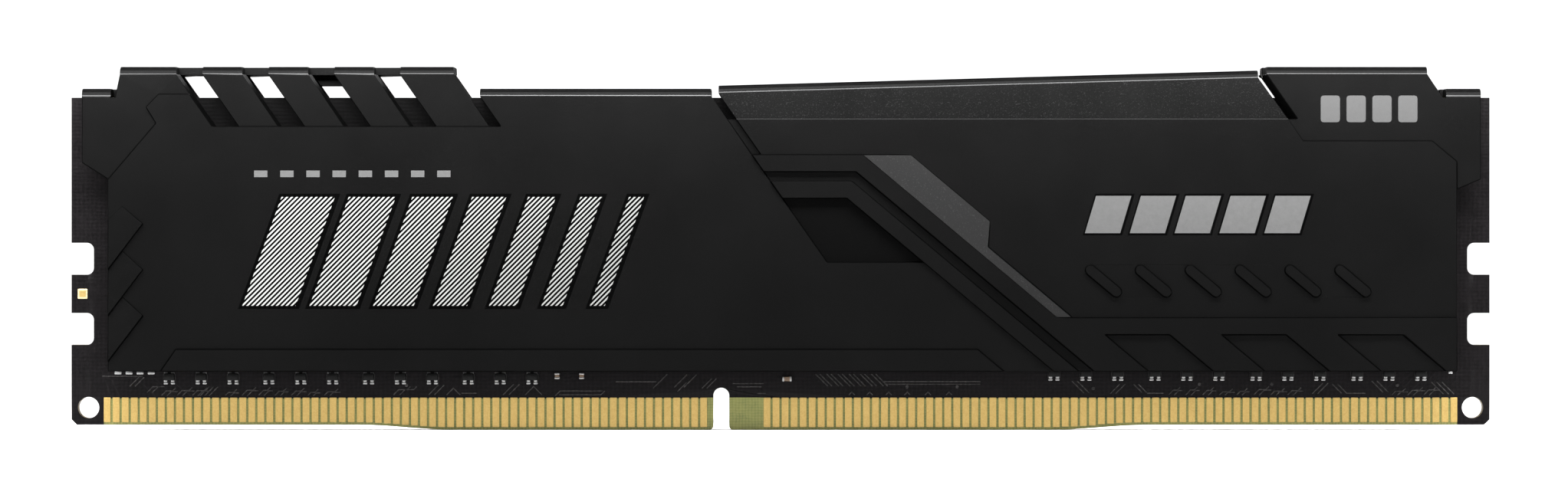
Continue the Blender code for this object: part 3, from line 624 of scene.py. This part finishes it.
def add_block(mesh, centre, size, near, far, radius, material=0):
    """Adds a block with all its edges rounded, on the front of the board."""
    block = bmesh.new()
    bmesh.ops.create_cube(block, size=1.0)
    bmesh.ops.scale(block, vec=(size[0], far - near, size[1]), verts=block.verts)
    bmesh.ops.bevel(
        block, geom=list(block.edges), offset=radius, segments=2, affect="EDGES", profile=0.5
    )
    offset = Vector((centre[0], FRONT * (near + far) / 2, centre[1]))
    made = {}
    for vertex in block.verts:
        made[vertex] = mesh.verts.new((vertex.co + offset) * MM)
    for face in block.faces:
        copy = mesh.faces.new([made[v] for v in face.verts])
        copy.material_index = material
        copy.smooth = True
    block.free()


def clipped(polygon, window):
    """The part of a convex polygon inside a convex, anticlockwise window."""
    for (x1, z1), (x2, z2) in pairs(window):
        result = []
        for a, b in pairs(polygon):
            side_a = (x2 - x1) * (a[1] - z1) - (z2 - z1) * (a[0] - x1)
            side_b = (x2 - x1) * (b[1] - z1) - (z2 - z1) * (b[0] - x1)
            if side_a >= 0:
                result.append(a)
            if side_a * side_b < 0:
                t = side_a / (side_a - side_b)
                result.append((a[0] + t * (b[0] - a[0]), a[1] + t * (b[1] - a[1])))
        polygon = result
        if len(polygon) < 3:
            return []
    return polygon


def placed(name, data):
    """An object that is in the scene."""
    item = bpy.data.objects.new(name, data)
    bpy.context.scene.collection.objects.link(item)
    return item


def finished(name, mesh, materials, nodes=()):
    """Makes the piece, rides it on the module and hides the CAD nodes it takes the place of."""
    data = bpy.data.meshes.new(name)
    mesh.normal_update()
    mesh.to_mesh(data)
    mesh.free()
    for material in materials:
        data.materials.append(material)
    piece = placed(name, data)
    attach(piece, "root")
    if nodes:
        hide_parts(*nodes)
    return piece


def soften(piece, width, segments=2):
    """Rounds the edges and keeps flat faces flat in the shading."""
    for polygon in piece.data.polygons:
        polygon.use_smooth = True
    bevel = piece.modifiers.new("rounded_edges", "BEVEL")
    bevel.width = width * MM
    bevel.segments = segments
    bevel.limit_method = "ANGLE"
    bevel.angle_limit = EASED_ABOVE
    bevel.miter_outer = "MITER_ARC"
    normals = piece.modifiers.new("flat_shading", "WEIGHTED_NORMAL")
    normals.mode = "FACE_AREA"
    normals.weight = 100
    normals.keep_sharp = True


# ------------ board

def contact_row(side, end):
    """The centres of a row's fingers, and a function for the height of the board's edge there."""
    low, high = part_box(f"contacts_{side}_{end}")
    left = low.x / MM + FINGER_WIDTH / 2
    count = round((high.x - low.x) / MM / FINGER_PITCH)
    feet = sorted(
        (v.co.x / MM, v.co.z / MM - FINGER_FOOT)
        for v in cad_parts[f"contacts_{side}_{end}"].data.vertices
        if v.co.z / MM < LOWER_CORNERS
    )

    def edge_height(x):
        return min(feet, key=lambda foot: abs(foot[0] - x))[1]

    return [left + FINGER_PITCH * i for i in range(count)], edge_height


def mask_window(facing_name):
    """The bare area along the contact edge: straight, with a small tooth between fingers."""
    half = FINGER_WIDTH / 2
    top = []
    for end in ("left", "right"):
        centres, _ = contact_row(facing_name, end)
        for number, x in enumerate(centres):
            top.append((x - half, FINGER_TOP))
            top.append((x + half, FINGER_TOP))
            if number + 1 < len(centres):
                top.append((x + FINGER_PITCH / 2, FINGER_TOP - TOOTH_DEPTH))
    return [(top[0][0], BELOW_EDGE)] + top + [(top[-1][0], BELOW_EDGE)]


def make_board(surfaces):
    outline, *holes = plan_loops("circuit_board", FRONT)

    def on_board(point):
        return inside(point, outline) and not any(inside(point, hole) for hole in holes)

    mesh = slab([outline, *holes], on_board, REAR, -CORE_FACE, CORE_FACE)
    for face in mesh.faces:
        face.material_index = 0 if abs(face.normal.y) > 0.9 else 1
    materials = [surfaces["laminate"], surfaces["rim"]]
    core = finished("board_core", mesh, materials, ["circuit_board"])
    soften(core, 0.03)
    for name, facing in SIDES:
        window = mask_window(name)

        def covered(point, window=window):
            return on_board(point) and not inside(point, window)

        mesh = slab([outline, *holes, window], covered, facing, CORE_FACE, MASK_FACE)
        mask = finished(f"board_mask_{name}", mesh, [surfaces["mask"]])
        soften(mask, 0.012, 1)


def make_fingers(surfaces):
    half = FINGER_WIDTH / 2
    rings = [
        (0.0, CORE_FACE - SUNK),
        (0.0, FINGER_FACE - FINGER_EASE),
        (FINGER_CHAMFER, FINGER_FACE),
    ]
    for name, facing in SIDES:
        for end in ("left", "right"):
            centres, edge_height = contact_row(name, end)
            mesh = bmesh.new()
            for x in centres:
                bottom = edge_height(x) + FINGER_FOOT
                finger = rectangle(x - half, bottom, x + half, FINGER_TOP)
                add_prism(mesh, rounded(finger, FINGER_CORNER, 2), facing, rings)
            node = f"contacts_{name}_{end}"
            finished(f"gold_fingers_{name}_{end}", mesh, [surfaces["gold"]], [node])


def make_test_pad(surfaces):
    """A square pad with a raised middle inside a paler rim."""
    low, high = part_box("gold_test_pad")
    left, bottom, right, top = (value / MM for value in (low.x, low.z, high.x, high.z))
    mesh = bmesh.new()
    rim = rectangle(left, bottom, right, top)
    rim_rings = [(0.0, CORE_FACE), (0.0, TRACE_FACE), (0.02, 0.75)]
    add_prism(mesh, rounded(rim, 0.06, 2), FRONT, rim_rings, 1)
    middle = rectangle(left + PAD_RIM, bottom + PAD_RIM, right - PAD_RIM, top - PAD_RIM)
    middle_rings = [(0.0, 0.74), (0.0, 0.752), (0.02, FINGER_FACE)]
    add_prism(mesh, rounded(middle, 0.05, 2), FRONT, middle_rings)
    materials = [surfaces["gold_dark"], surfaces["gold_pale"]]
    finished("test_pad", mesh, materials, ["gold_test_pad"])


# ------------ traces

LEVEL, RISE, DROP = 0.0, 45.0, -45.0
TRACE_WIDTH = 0.12
VIA_RADIUS = 0.17
VIA_FACE = 0.742
VIA_DIMPLE = 0.728

# Each run of traces: where the first one starts, how many, their pitch, and the direction and
# length of each leg
TRACE_RUNS = (
    (-63.8, 5.05, 1, 0.0, LEVEL, 3.8),
    (-61.2, 4.1, 2, 0.5, RISE, 1.2),
    (-59.6, 3.5, 2, 0.5, RISE, 0.8, LEVEL, 0.6),
    (-54.6, 3.2, 3, 0.42, RISE, 1.2),
    (-36.4, 3.3, 2, 0.6, RISE, 0.7, LEVEL, 0.8, RISE, 0.4),
    (-33.1, 3.3, 2, 0.55, RISE, 1.3),
    (-31.4, 3.3, 1, 0.0, RISE, 0.9, DROP, 0.9),
    (-30.0, 3.45, 1, 0.0, LEVEL, 1.4),
    (-26.1, 3.3, 2, 0.55, RISE, 1.4),
    (-24.0, 3.3, 1, 0.0, RISE, 1.1, DROP, 1.1),
    (-20.8, 3.3, 1, 0.0, LEVEL, 3.9, RISE, 0.5),
    (-21.2, 3.2, 1, 0.0, RISE, 0.65, LEVEL, 4.0),
    (-15.5, 4.53, 1, 0.0, LEVEL, 3.8),
    (-12.0, 3.9, 1, 0.0, RISE, 1.9),
    (-10.0, 4.0, 2, 0.9, RISE, 1.7),
    (-9.7, 3.6, 1, 0.0, RISE, 1.2),
    (-7.4, 3.9, 2, 0.45, RISE, 1.3),
    (-4.5, 4.35, 1, 0.0, LEVEL, 2.9),
    (-4.1, 4.05, 1, 0.0, LEVEL, 2.3),
    (-2.2, 3.42, 1, 0.0, LEVEL, 0.8),
    (3.3, 5.25, 6, 1.05, DROP, 1.6),
    (3.7, 5.25, 6, 1.05, DROP, 1.6),
    (9.6, 4.55, 1, 0.0, LEVEL, 9.2),
    (9.8, 4.30, 1, 0.0, LEVEL, 9.0),
    (27.4, 4.6, 2, 0.5, DROP, 1.6),
    (31.0, 3.4, 2, 0.5, RISE, 1.3),
    (33.2, 4.3, 2, 0.45, DROP, 1.1),
    (34.5, 3.45, 1, 0.0, LEVEL, 1.5),
    (50.0, 3.4, 2, 0.5, RISE, 1.4),
    (51.9, 4.3, 2, 0.5, DROP, 1.2),
    (53.2, 3.45, 1, 0.0, LEVEL, 1.8),
    (55.6, 4.6, 2, 0.5, DROP, 1.5),
    (61.2, 4.5, 3, 0.5, DROP, 1.6),
)
# Stretches where short stepped traces repeat: first x, last x, pitch and height
STEPPED = (
    (-58.2, -55.2, 1.45, 3.25),
    (-52.2, -41.6, 1.55, 3.25),
    (36.5, 48.5, 1.6, 3.3),
    (57.5, 60.8, 1.5, 3.3),
)
# Small peaked traces just above the fingers: how many, first x, pitch and height
PEAKS = (6, 6.5, 1.8, 3.28)
VIAS = (
    (-35.2, 4.2), (11.9, 4.05), (16.6, 4.05), (29.4, 3.9), (39.4, 4.3), (46.2, 4.3), (58.0, 4.2),
)


def trace_run(mesh, start, count, pitch, legs, facing):
    """Adds parallel traces. Each leg is a pair: a direction in degrees, and a length."""
    for number in range(count):
        point = Vector((start[0] + number * pitch, start[1]))
        points = [tuple(point)]
        for angle, length in legs:
            turn = math.radians(angle)
            point = point + Vector((math.cos(turn), math.sin(turn))) * length
            points.append(tuple(point))
        add_ribbon(mesh, points, TRACE_WIDTH, facing, MASK_FACE - SUNK, TRACE_FACE)


def add_via(mesh, centre, facing):
    """Adds a tented via: a low ring with a dimple."""
    steps = 12
    rings = (       # share of the radius, and depth
        (1.0, MASK_FACE - SUNK),
        (0.8, VIA_FACE),
        (0.45, VIA_FACE),
        (0.25, VIA_DIMPLE),
    )
    levels = []
    for share, depth in rings:
        level = []
        for step in range(steps):
            angle = 2 * math.pi * step / steps
            x = centre[0] + VIA_RADIUS * share * math.cos(angle)
            z = centre[1] + VIA_RADIUS * share * math.sin(angle)
            level.append(mesh.verts.new((x * MM, facing * depth * MM, z * MM)))
        levels.append(level)
    add_skin(mesh, levels, smooth=True)


def make_traces(surfaces):
    """Copper under the mask, in the strip between the contacts and the heat spreader."""
    for side, facing in SIDES:
        draw = random.Random(5)
        mesh = bmesh.new()
        for x, z, count, pitch, *legs in TRACE_RUNS:
            trace_run(mesh, (x, z), count, pitch, list(zip(legs[::2], legs[1::2])), facing)
        for x, end, pitch, z in STEPPED:
            while x < end:
                rise = draw.uniform(0.4, 0.7)
                level = draw.uniform(0.3, 0.7)
                legs = ((RISE, rise), (LEVEL, level), (RISE, 0.4))
                trace_run(mesh, (x, z), 1, 0.0, legs, facing)
                trace_run(mesh, (x + 0.5, z - 0.05), 1, 0.0, legs[:2], facing)
                x += pitch
        for centre in VIAS:
            add_via(mesh, centre, facing)
        count, first, pitch, z = PEAKS
        for number in range(count):
            foot = (first + pitch * number + draw.uniform(-0.3, 0.3), z)
            trace_run(mesh, foot, 1, 0.0, ((RISE, 0.4), (DROP, 0.4)), facing)
        finished(f"board_traces_{side}", mesh, [surfaces["mask_copper"]])


# ------------ soldered parts

PACK_COUNT = 24
TERMINALS = (-0.33, 0.33)       # of a resistor pack, left and right of its middle
SOLDER_DEPTHS = (0.70, 0.84)
PADS_LEFT = (4, -62.3, 1.04)    # how many, first x and pitch


def node_centre(name):
    """The plan point in the middle of a CAD node."""
    low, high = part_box(name)
    return ((low.x + high.x) / 2 / MM, (low.z + high.z) / 2 / MM)


def make_resistor_packs(surfaces):
    """Each pack: a dark body, bright joints below it, darker ones above in painted shade, and a
    raised outline.
    """
    keys = ("resistor", "solder", "solder_shaded", "mask_copper")
    body, bright, shaded_joint, outline = range(len(keys))
    materials = [surfaces[key] for key in keys]
    for number in range(1, PACK_COUNT + 1):
        node = f"resistor_pack_{number:02d}"
        x, z = node_centre(node)
        mesh = bmesh.new()
        add_block(mesh, (x, z + 0.12), (1.0, 0.66), 0.80, 1.10, 0.07, body)
        for dx in TERMINALS:
            add_block(mesh, (x + dx, z - 0.27), (0.33, 0.20), 0.76, 1.07, 0.05, bright)
            add_block(mesh, (x + dx, z - 0.50), (0.40, 0.20), *SOLDER_DEPTHS, 0.06, bright)
            # The upper joints take the darker solder: painted shade from the spreader's edge.
            add_block(mesh, (x + dx, z + 0.49), (0.36, 0.17), *SOLDER_DEPTHS, 0.06, shaded_joint)
        rim = [(x - 0.57, z - 0.34), (x - 0.57, z + 0.30), (x - 0.44, z + 0.46)]
        rim += [(2 * x - rim_x, rim_z) for rim_x, rim_z in reversed(rim)]
        add_ribbon(mesh, rim, 0.07, FRONT, MASK_FACE - SUNK, TRACE_FACE, outline)
        finished(f"resistor_array_{number:02d}", mesh, materials, [node])


def make_capacitors(surfaces):
    """Each capacitor: a ceramic body between two tinned ends."""
    materials = [surfaces["ceramic"], surfaces["solder"]]
    for which in ("left", "middle", "right"):
        node = f"capacitor_{which}"
        low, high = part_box(node)
        x, z = node_centre(node)
        upright = (high.z - low.z) > (high.x - low.x)
        length = max(high.z - low.z, high.x - low.x) / MM
        mesh = bmesh.new()

        def across(along, size, x=x, z=z, upright=upright):
            """A place and size given along and across the part."""
            if upright:
                return (x, z + along), (size[1], size[0])
            return (x + along, z), size

        centre, size = across(0.0, (length - 0.36, 0.42))
        add_block(mesh, centre, size, 0.78, 1.12, 0.05)
        for end in (-1, 1):
            centre, size = across((length / 2 - 0.13) * end, (0.20, 0.48))
            add_block(mesh, centre, size, 0.70, 1.15, 0.07, 1)
        finished(f"ceramic_capacitor_{which}", mesh, materials, [node])


def make_loose_pads(surfaces):
    """Tinned pads that peep out below the heat spreader at both ends."""
    mesh = bmesh.new()
    count, first, pitch = PADS_LEFT
    for number in range(count):
        add_block(mesh, (first + pitch * number, 5.35), (0.66, 0.26), 0.70, 0.80, 0.05)
    add_block(mesh, (63.0, 5.38), (0.4, 0.2), 0.70, 0.80, 0.05)
    finished("tinned_pads", mesh, [surfaces["solder"]])


# ------------ heat spreader

def coat_zone(face, facing):
    """Which finish a face of the heat spreader gets, from its slope, depth and height."""
    # Faces towards the board take the lighter coat, which is painted light.
    if -facing * face.normal.y > INWARDS:
        return LIT_INSIDE
    middle = face.calc_center_median()
    across = middle.x / MM
    depth = abs(middle.y) / MM
    height = middle.z / MM
    tilt = math.degrees(math.acos(min(1.0, abs(face.normal.y))))
    foot = min(vertex.co.z for vertex in face.verts) / MM
    curve, shade, lip = BEND_SLOPES
    # The lips' bends are banded by slope: a painted highlight low down, painted shade above it.
    if foot > BEND_START and face.normal.z > BEND_LEAST and abs(face.normal.x) < ENDWISE:
        if face.normal.z > lip:
            return LIP_SHADE
        if face.normal.z > curve:
            return SHADE if face.normal.z > shade else CURVE_SHADE
        return BEND_HIGHLIGHT if SLOTS_END < across < MIDDLE_END else SOFT_BEND_HIGHLIGHT
    # Steep walls take a darker coat: painted shade along each step.
    if tilt > WALL_TILT:
        return SHADED_WALL
    if height > FOLD_HEIGHT - 0.1 and tilt > LEANING_TILT:
        return LEANING
    # Tilted faces right of the slots take the lighter coat: painted highlight.
    if tilt > FACET_TILT and across > SLOTS_END:
        return LIT_FACET
    if abs(depth - POCKET_DEPTH) < DEPTH_MARGIN and height < POCKET_TOP:
        return POCKET
    in_channel = CHANNEL_START < across < CHANNEL_END and height < CHANNEL_TOP
    if abs(depth - EAR_FACE) < DEPTH_MARGIN and in_channel:
        return CHANNEL
    return PLAIN


def ease_fold(mesh):
    """Rounds the crease where the rising part starts to lean back, with a painted highlight along
    it.
    """
    crease = []
    for edge in mesh.edges:
        level = all(abs(v.co.z / MM - FOLD_HEIGHT) < 0.01 for v in edge.verts)
        zones = {face.material_index for face in edge.link_faces}
        if level and zones == {PLAIN, LEANING}:
            crease.append(edge)
    round_by = FOLD_ROUND * MM
    bmesh.ops.bevel(
        mesh, geom=crease, offset=round_by, segments=1, affect="EDGES", profile=0.5, material=FOLD_HIGHLIGHT
    )


def weigh_edges(mesh):
    """Says how much each edge is rounded, and which edges of the bend shade as sharp."""
    weights = mesh.edges.layers.float.new("bevel_weight_edge")
    for edge in mesh.edges:
        if len(edge.link_faces) != 2:
            continue
        zones = [face.material_index for face in edge.link_faces]
        if any(zone in ROUNDED for zone in zones):
            edge.smooth = all(zone in ROUNDED for zone in zones)
            continue
        if FOLD_HIGHLIGHT in zones:
            continue
        angle = edge.calc_face_angle(0.0)
        shortest = min(e.calc_length() for face in edge.link_faces for e in face.edges)
        room = min(1.0, EDGE_SHARE * shortest / MM / EDGE_ROUND)
        if angle > SHARP:
            edge[weights] = room
        elif angle > SHALLOW_EDGE and LIT_FACET in zones:
            edge[weights] = SHALLOW_ROUND * room


def make_spreader(side, facing, surfaces):
    """The pressed plate, with a finish for each of its zones, some of them painted highlights and
    shade, and eased edges.
    """
    node = f"heat_spreader_{side}"
    mesh = node_mesh(node)
    merge_flat(mesh, 0.15)
    wide = [face for face in mesh.faces if len(face.verts) > 4]
    bmesh.ops.triangulate(mesh, faces=wide, ngon_method="BEAUTY")
    mesh.normal_update()
    for face in mesh.faces:
        face.material_index = coat_zone(face, facing)
    ease_fold(mesh)
    mesh.normal_update()
    for face in mesh.faces:
        face.smooth = face.material_index in ROUNDED
    weigh_edges(mesh)
    finishes = [surfaces[key] for key in COATS]
    piece = finished(f"spreader_{side}", mesh, finishes, [node])
    bevel = piece.modifiers.new("rounded_edges", "BEVEL")
    bevel.width = EDGE_ROUND * MM
    bevel.segments = 2
    bevel.limit_method = "WEIGHT"
    bevel.use_clamp_overlap = False
    bevel.miter_outer = "MITER_ARC"
    # The rounding takes the walls' darker coat, which is painted shade.
    bevel.material = SHADED_WALL


# ------------ print

def slanted(left, bottom, width, height, lean):
    """A parallelogram that leans to the right as it rises."""
    right = left + width
    top = bottom + height
    shift = height * lean
    return [(left, bottom), (right, bottom), (right + shift, top), (left + shift, top)]


def add_ink(mesh, outline, base):
    add_prism(mesh, outline, FRONT, [(0.0, base - INK_SUNK), (0.0, base + INK)])


def add_backing(mesh, outline):
    """Adds dark print that edges a mark on the panel."""
    add_prism(mesh, outline, FRONT, [(0.0, PANEL - INK_SUNK), (0.0, PANEL + BACKING)], 1)


def add_hatching(mesh, bar, left, width):
    """Adds stripes that climb to the right, cut to the outline of a bar."""
    offset = left - HATCH_REACH
    while offset < left + width + HATCH_BEYOND:
        stripe = [(offset, HATCH_BOTTOM), (offset + HATCH_STRIPE, HATCH_BOTTOM)]
        stripe += [(x + HATCH_REACH, z + HATCH_REACH) for x, z in reversed(stripe)]
        piece = clipped(stripe, bar)
        if len(piece) > 2:
            add_ink(mesh, piece, PANEL)
        offset += HATCH_PITCH


def make_hatched_mark(surfaces):
    """A row of hatched slanted bars that get narrower, in place of a printed mark."""
    mesh = bmesh.new()
    left, width, gap = HATCH_LEFT, HATCH_WIDTH, HATCH_GAP
    border = HATCH_BORDER
    for _ in range(HATCH_BARS):
        bar = slanted(left, HATCH_BOTTOM, width, HATCH_HEIGHT, HATCH_LEAN)
        corner = (left - 1.4 * border, HATCH_BOTTOM - border)
        size = (width + 2.4 * border, HATCH_HEIGHT + 2 * border)
        add_backing(mesh, slanted(*corner, *size, HATCH_LEAN))
        add_hatching(mesh, bar, left, width)
        left += width + gap
        width -= HATCH_SHRINK
        gap += HATCH_GAP_GROWTH
    finished("hatched_mark", mesh, [surfaces["ink_light"], surfaces["ink_dark"]])


def make_small_marks(surfaces):
    """Dashes, slanted bars and blocks in place of the smaller lettering."""
    mesh = bmesh.new()
    for number in range(DASH_COUNT):
        left, bottom, width, height = DASH
        add_ink(mesh, slanted(left + DASH_PITCH * number, bottom, width, height, 0.0), PANEL)
    finished("dash_row", mesh, [surfaces["ink_grey"]])

    mesh = bmesh.new()
    for number in range(BAR_COUNT):
        left, bottom, width, height = BAR
        left += BAR_PITCH * number
        corner = (left - BAR_BORDER, bottom - BAR_BORDER)
        size = (width + 2 * BAR_BORDER, height + 2 * BAR_BORDER)
        add_backing(mesh, slanted(*corner, *size, BAR_LEAN))
        add_ink(mesh, slanted(left, bottom, width, height, BAR_LEAN), PANEL)
    finished("slanted_bars", mesh, [surfaces["ink_grey"], surfaces["ink_dark"]])

    mesh = bmesh.new()
    for number in range(BLOCK_COUNT):
        left, bottom, right, top = BLOCK
        shift = BLOCK_PITCH * number
        block = rectangle(left + shift, bottom, right + shift, top)
        add_ink(mesh, rounded(block, 0.3, 3), EAR_FACE)
    finished("corner_blocks", mesh, [surfaces["ink_dim"]])


def make_label_border(surfaces):
    """A plain printed line round the rear label."""
    low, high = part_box("rear_label")
    face = high.y / MM
    left, right = low.x / MM + LABEL_MARGIN, high.x / MM - LABEL_MARGIN
    bottom, top = low.z / MM + LABEL_MARGIN, high.z / MM - LABEL_MARGIN
    line = rounded(rectangle(left, bottom, right, top), 0.8, 4)
    mesh = bmesh.new()
    add_ribbon(mesh, line + line[:1], LABEL_LINE, REAR, face - INK_SUNK, face + INK)
    finished("label_border", mesh, [surfaces["ink_dim"]])


# ------------ stage

# Camera, in metres: level with the middle of the module, square on to its front
CAMERA_TARGET = Vector((0.000325, 0.0, 0.0173))
CAMERA_DISTANCE = 0.6
VIEW_WIDTH = 0.14764
SENSOR_WIDTH = 36.0

# Floor that curves up far behind, as (radius, height) of its rings, in metres
FLOOR_STEPS = 64
FLOOR_RINGS = (
    (0.6, 0.0), (2.0, 0.0), (2.6, 0.04), (3.2, 0.16),
    (3.9, 0.42), (4.5, 0.85), (4.9, 1.6), (5.0, 2.6),
)

# Lights: a strip softbox close to each face, a wide overhead light and an even surrounding
SOFTBOX_OUT = 0.020
SOFTBOX_HEIGHT = 0.050
SOFTBOX_TARGET = 0.030
SOFTBOX_SIZE = (0.36, 0.012)
SOFTBOX_ENERGY = 0.23
SOFTBOX_SPREAD = 110
CEILING_ENERGY = 2.9
CEILING_ANGLE = 60
SURROUND_STRENGTH = 0.28


def add_softbox(name, facing):
    light = bpy.data.lights.new(name, "AREA")
    light.spread = math.radians(SOFTBOX_SPREAD)
    light.shape = "RECTANGLE"
    light.size, light.size_y = SOFTBOX_SIZE
    light.energy = SOFTBOX_ENERGY
    lamp = placed(name, light)
    lamp.visible_camera = False
    lamp.location = (0.0, facing * SOFTBOX_OUT, SOFTBOX_HEIGHT)
    aim = Vector((0.0, 0.0, SOFTBOX_TARGET)) - lamp.location
    lamp.rotation_euler = aim.to_track_quat("-Z", "Y").to_euler()


def make_floor():
    mesh = bmesh.new()
    turns = [2 * math.pi * i / FLOOR_STEPS for i in range(FLOOR_STEPS)]
    rows = []
    for radius, height in FLOOR_RINGS:
        ring = [(radius * math.cos(turn), radius * math.sin(turn), height) for turn in turns]
        rows.append([mesh.verts.new(point) for point in ring])
    mesh.faces.new(rows[0])
    for low, high in zip(rows, rows[1:]):
        for i in range(FLOOR_STEPS):
            j = (i + 1) % FLOOR_STEPS
            mesh.faces.new([low[i], low[j], high[j], high[i]])
    bmesh.ops.recalc_face_normals(mesh, faces=mesh.faces)
    for face in mesh.faces:
        face.smooth = True
    data = bpy.data.meshes.new("stage_sweep")
    mesh.to_mesh(data)
    mesh.free()
    data.materials.append(floor_surface())
    floor = placed("stage_sweep", data)


def make_lights():
    world = bpy.data.worlds.new("studio")
    bpy.context.scene.world = world
    world.use_nodes = True
    background = world.node_tree.nodes["Background"]
    background.inputs["Color"].default_value = (*grey(1.0), 1.0)
    background.inputs["Strength"].default_value = SURROUND_STRENGTH
    add_softbox("front_softbox", FRONT)
    add_softbox("rear_softbox", REAR)
    sun = bpy.data.lights.new("ceiling", "SUN")
    sun.energy = CEILING_ENERGY
    sun.angle = math.radians(CEILING_ANGLE)
    placed("ceiling", sun)
    bpy.context.scene.view_settings.view_transform = "Standard"


def make_camera():
    camera = bpy.data.cameras.new("camera")
    camera.sensor_width = SENSOR_WIDTH
    camera.lens = SENSOR_WIDTH * CAMERA_DISTANCE / VIEW_WIDTH
    camera.clip_start = 0.01
    camera.clip_end = 20.0
    holder = placed("camera", camera)
    holder.location = CAMERA_TARGET + Vector((0.0, -CAMERA_DISTANCE, 0.0))
    holder.rotation_euler = (math.radians(90), 0.0, 0.0)
    bpy.context.scene.camera = holder


# ------------ main

def paint_node(name, material, round_edges):
    """Gives a CAD node that stays its procedural material and softened edges."""
    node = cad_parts[name]
    node.data.materials.clear()
    node.data.materials.append(material)
    weld = node.modifiers.new("joined_corners", "WELD")
    weld.merge_threshold = JOIN_WITHIN
    soften(node, round_edges)


def make_surfaces():
    """Every material of the module, by a short key."""
    surfaces = {key: coat_surface(f"black_{key}", *finish) for key, finish in COATS.items()}
    surfaces.update({
        "mask": mask_surface(
            "solder_mask", (0.0025, 0.0021, 0.0023), (0.0043, 0.0036, 0.0040), 0.48
        ),
        "mask_copper": mask_surface(
            "mask_over_copper", (0.022, 0.0205, 0.0205), (0.036, 0.034, 0.0335), 0.36
        ),
        "laminate": laminate_surface(),
        "rim": laminate_edge_surface(),
        "gold": gold_surface("gold_plating", (0.385, 0.257, 0.078), (0.485, 0.342, 0.115)),
        "gold_dark": gold_surface("gold_plating_aged", (0.38, 0.27, 0.09), (0.50, 0.36, 0.13)),
        "gold_pale": gold_surface("gold_plating_rim", (0.60, 0.50, 0.28), (0.70, 0.60, 0.38)),
        "solder": solder_surface("solder", grey(0.22), grey(0.34)),
        # Darker copy of the solder for joints under the spreader's edge: painted shade.
        "solder_shaded": solder_surface("solder_shaded", grey(0.10), grey(0.16)),
        "resistor": resin_surface("resistor_glaze", grey(0.003), grey(0.005), 0.35, 0.10, 0.10),
        "ceramic": resin_surface(
            "capacitor_ceramic", (0.10, 0.065, 0.040), (0.15, 0.10, 0.065), 0.5, 0.08, 0.4
        ),
        "resin": resin_surface(
            "chip_resin", (0.012, 0.012, 0.013), (0.018, 0.018, 0.019), 0.6, 0.12, 0.4
        ),
        "silicone": silicone_surface(),
        "ink_light": ink_surface(
            "ink_light", (0.38, 0.38, 0.375), (0.33, 0.33, 0.325), (0.22, 0.22, 0.217)
        ),
        "ink_grey": ink_surface("ink_grey", grey(0.083), grey(0.071)),
        "ink_dim": ink_surface("ink_dim", grey(0.052), grey(0.045)),
        "ink_dark": coat_surface("ink_dark", 0.0006, 0.0010, 0.5, 0.01),
        "film": film_surface(),
    })
    return surfaces


def main():
    surfaces = make_surfaces()
    make_board(surfaces)
    make_fingers(surfaces)
    make_test_pad(surfaces)
    make_traces(surfaces)
    make_resistor_packs(surfaces)
    make_capacitors(surfaces)
    make_loose_pads(surfaces)
    for side, facing in SIDES:
        make_spreader(side, facing, surfaces)
        for number in range(1, CHIPS_PER_SIDE + 1):
            paint_node(f"memory_chip_{side}_{number}", surfaces["resin"], 0.05)
        for end in ("left", "right"):
            paint_node(f"thermal_pad_{side}_{end}", surfaces["silicone"], 0.10)
    paint_node("settings_eeprom", surfaces["resin"], 0.06)
    paint_node("rear_label", surfaces["film"], 0.02)
    make_hatched_mark(surfaces)
    make_small_marks(surfaces)
    make_label_border(surfaces)
    make_floor()
    make_lights()
    make_camera()


main()
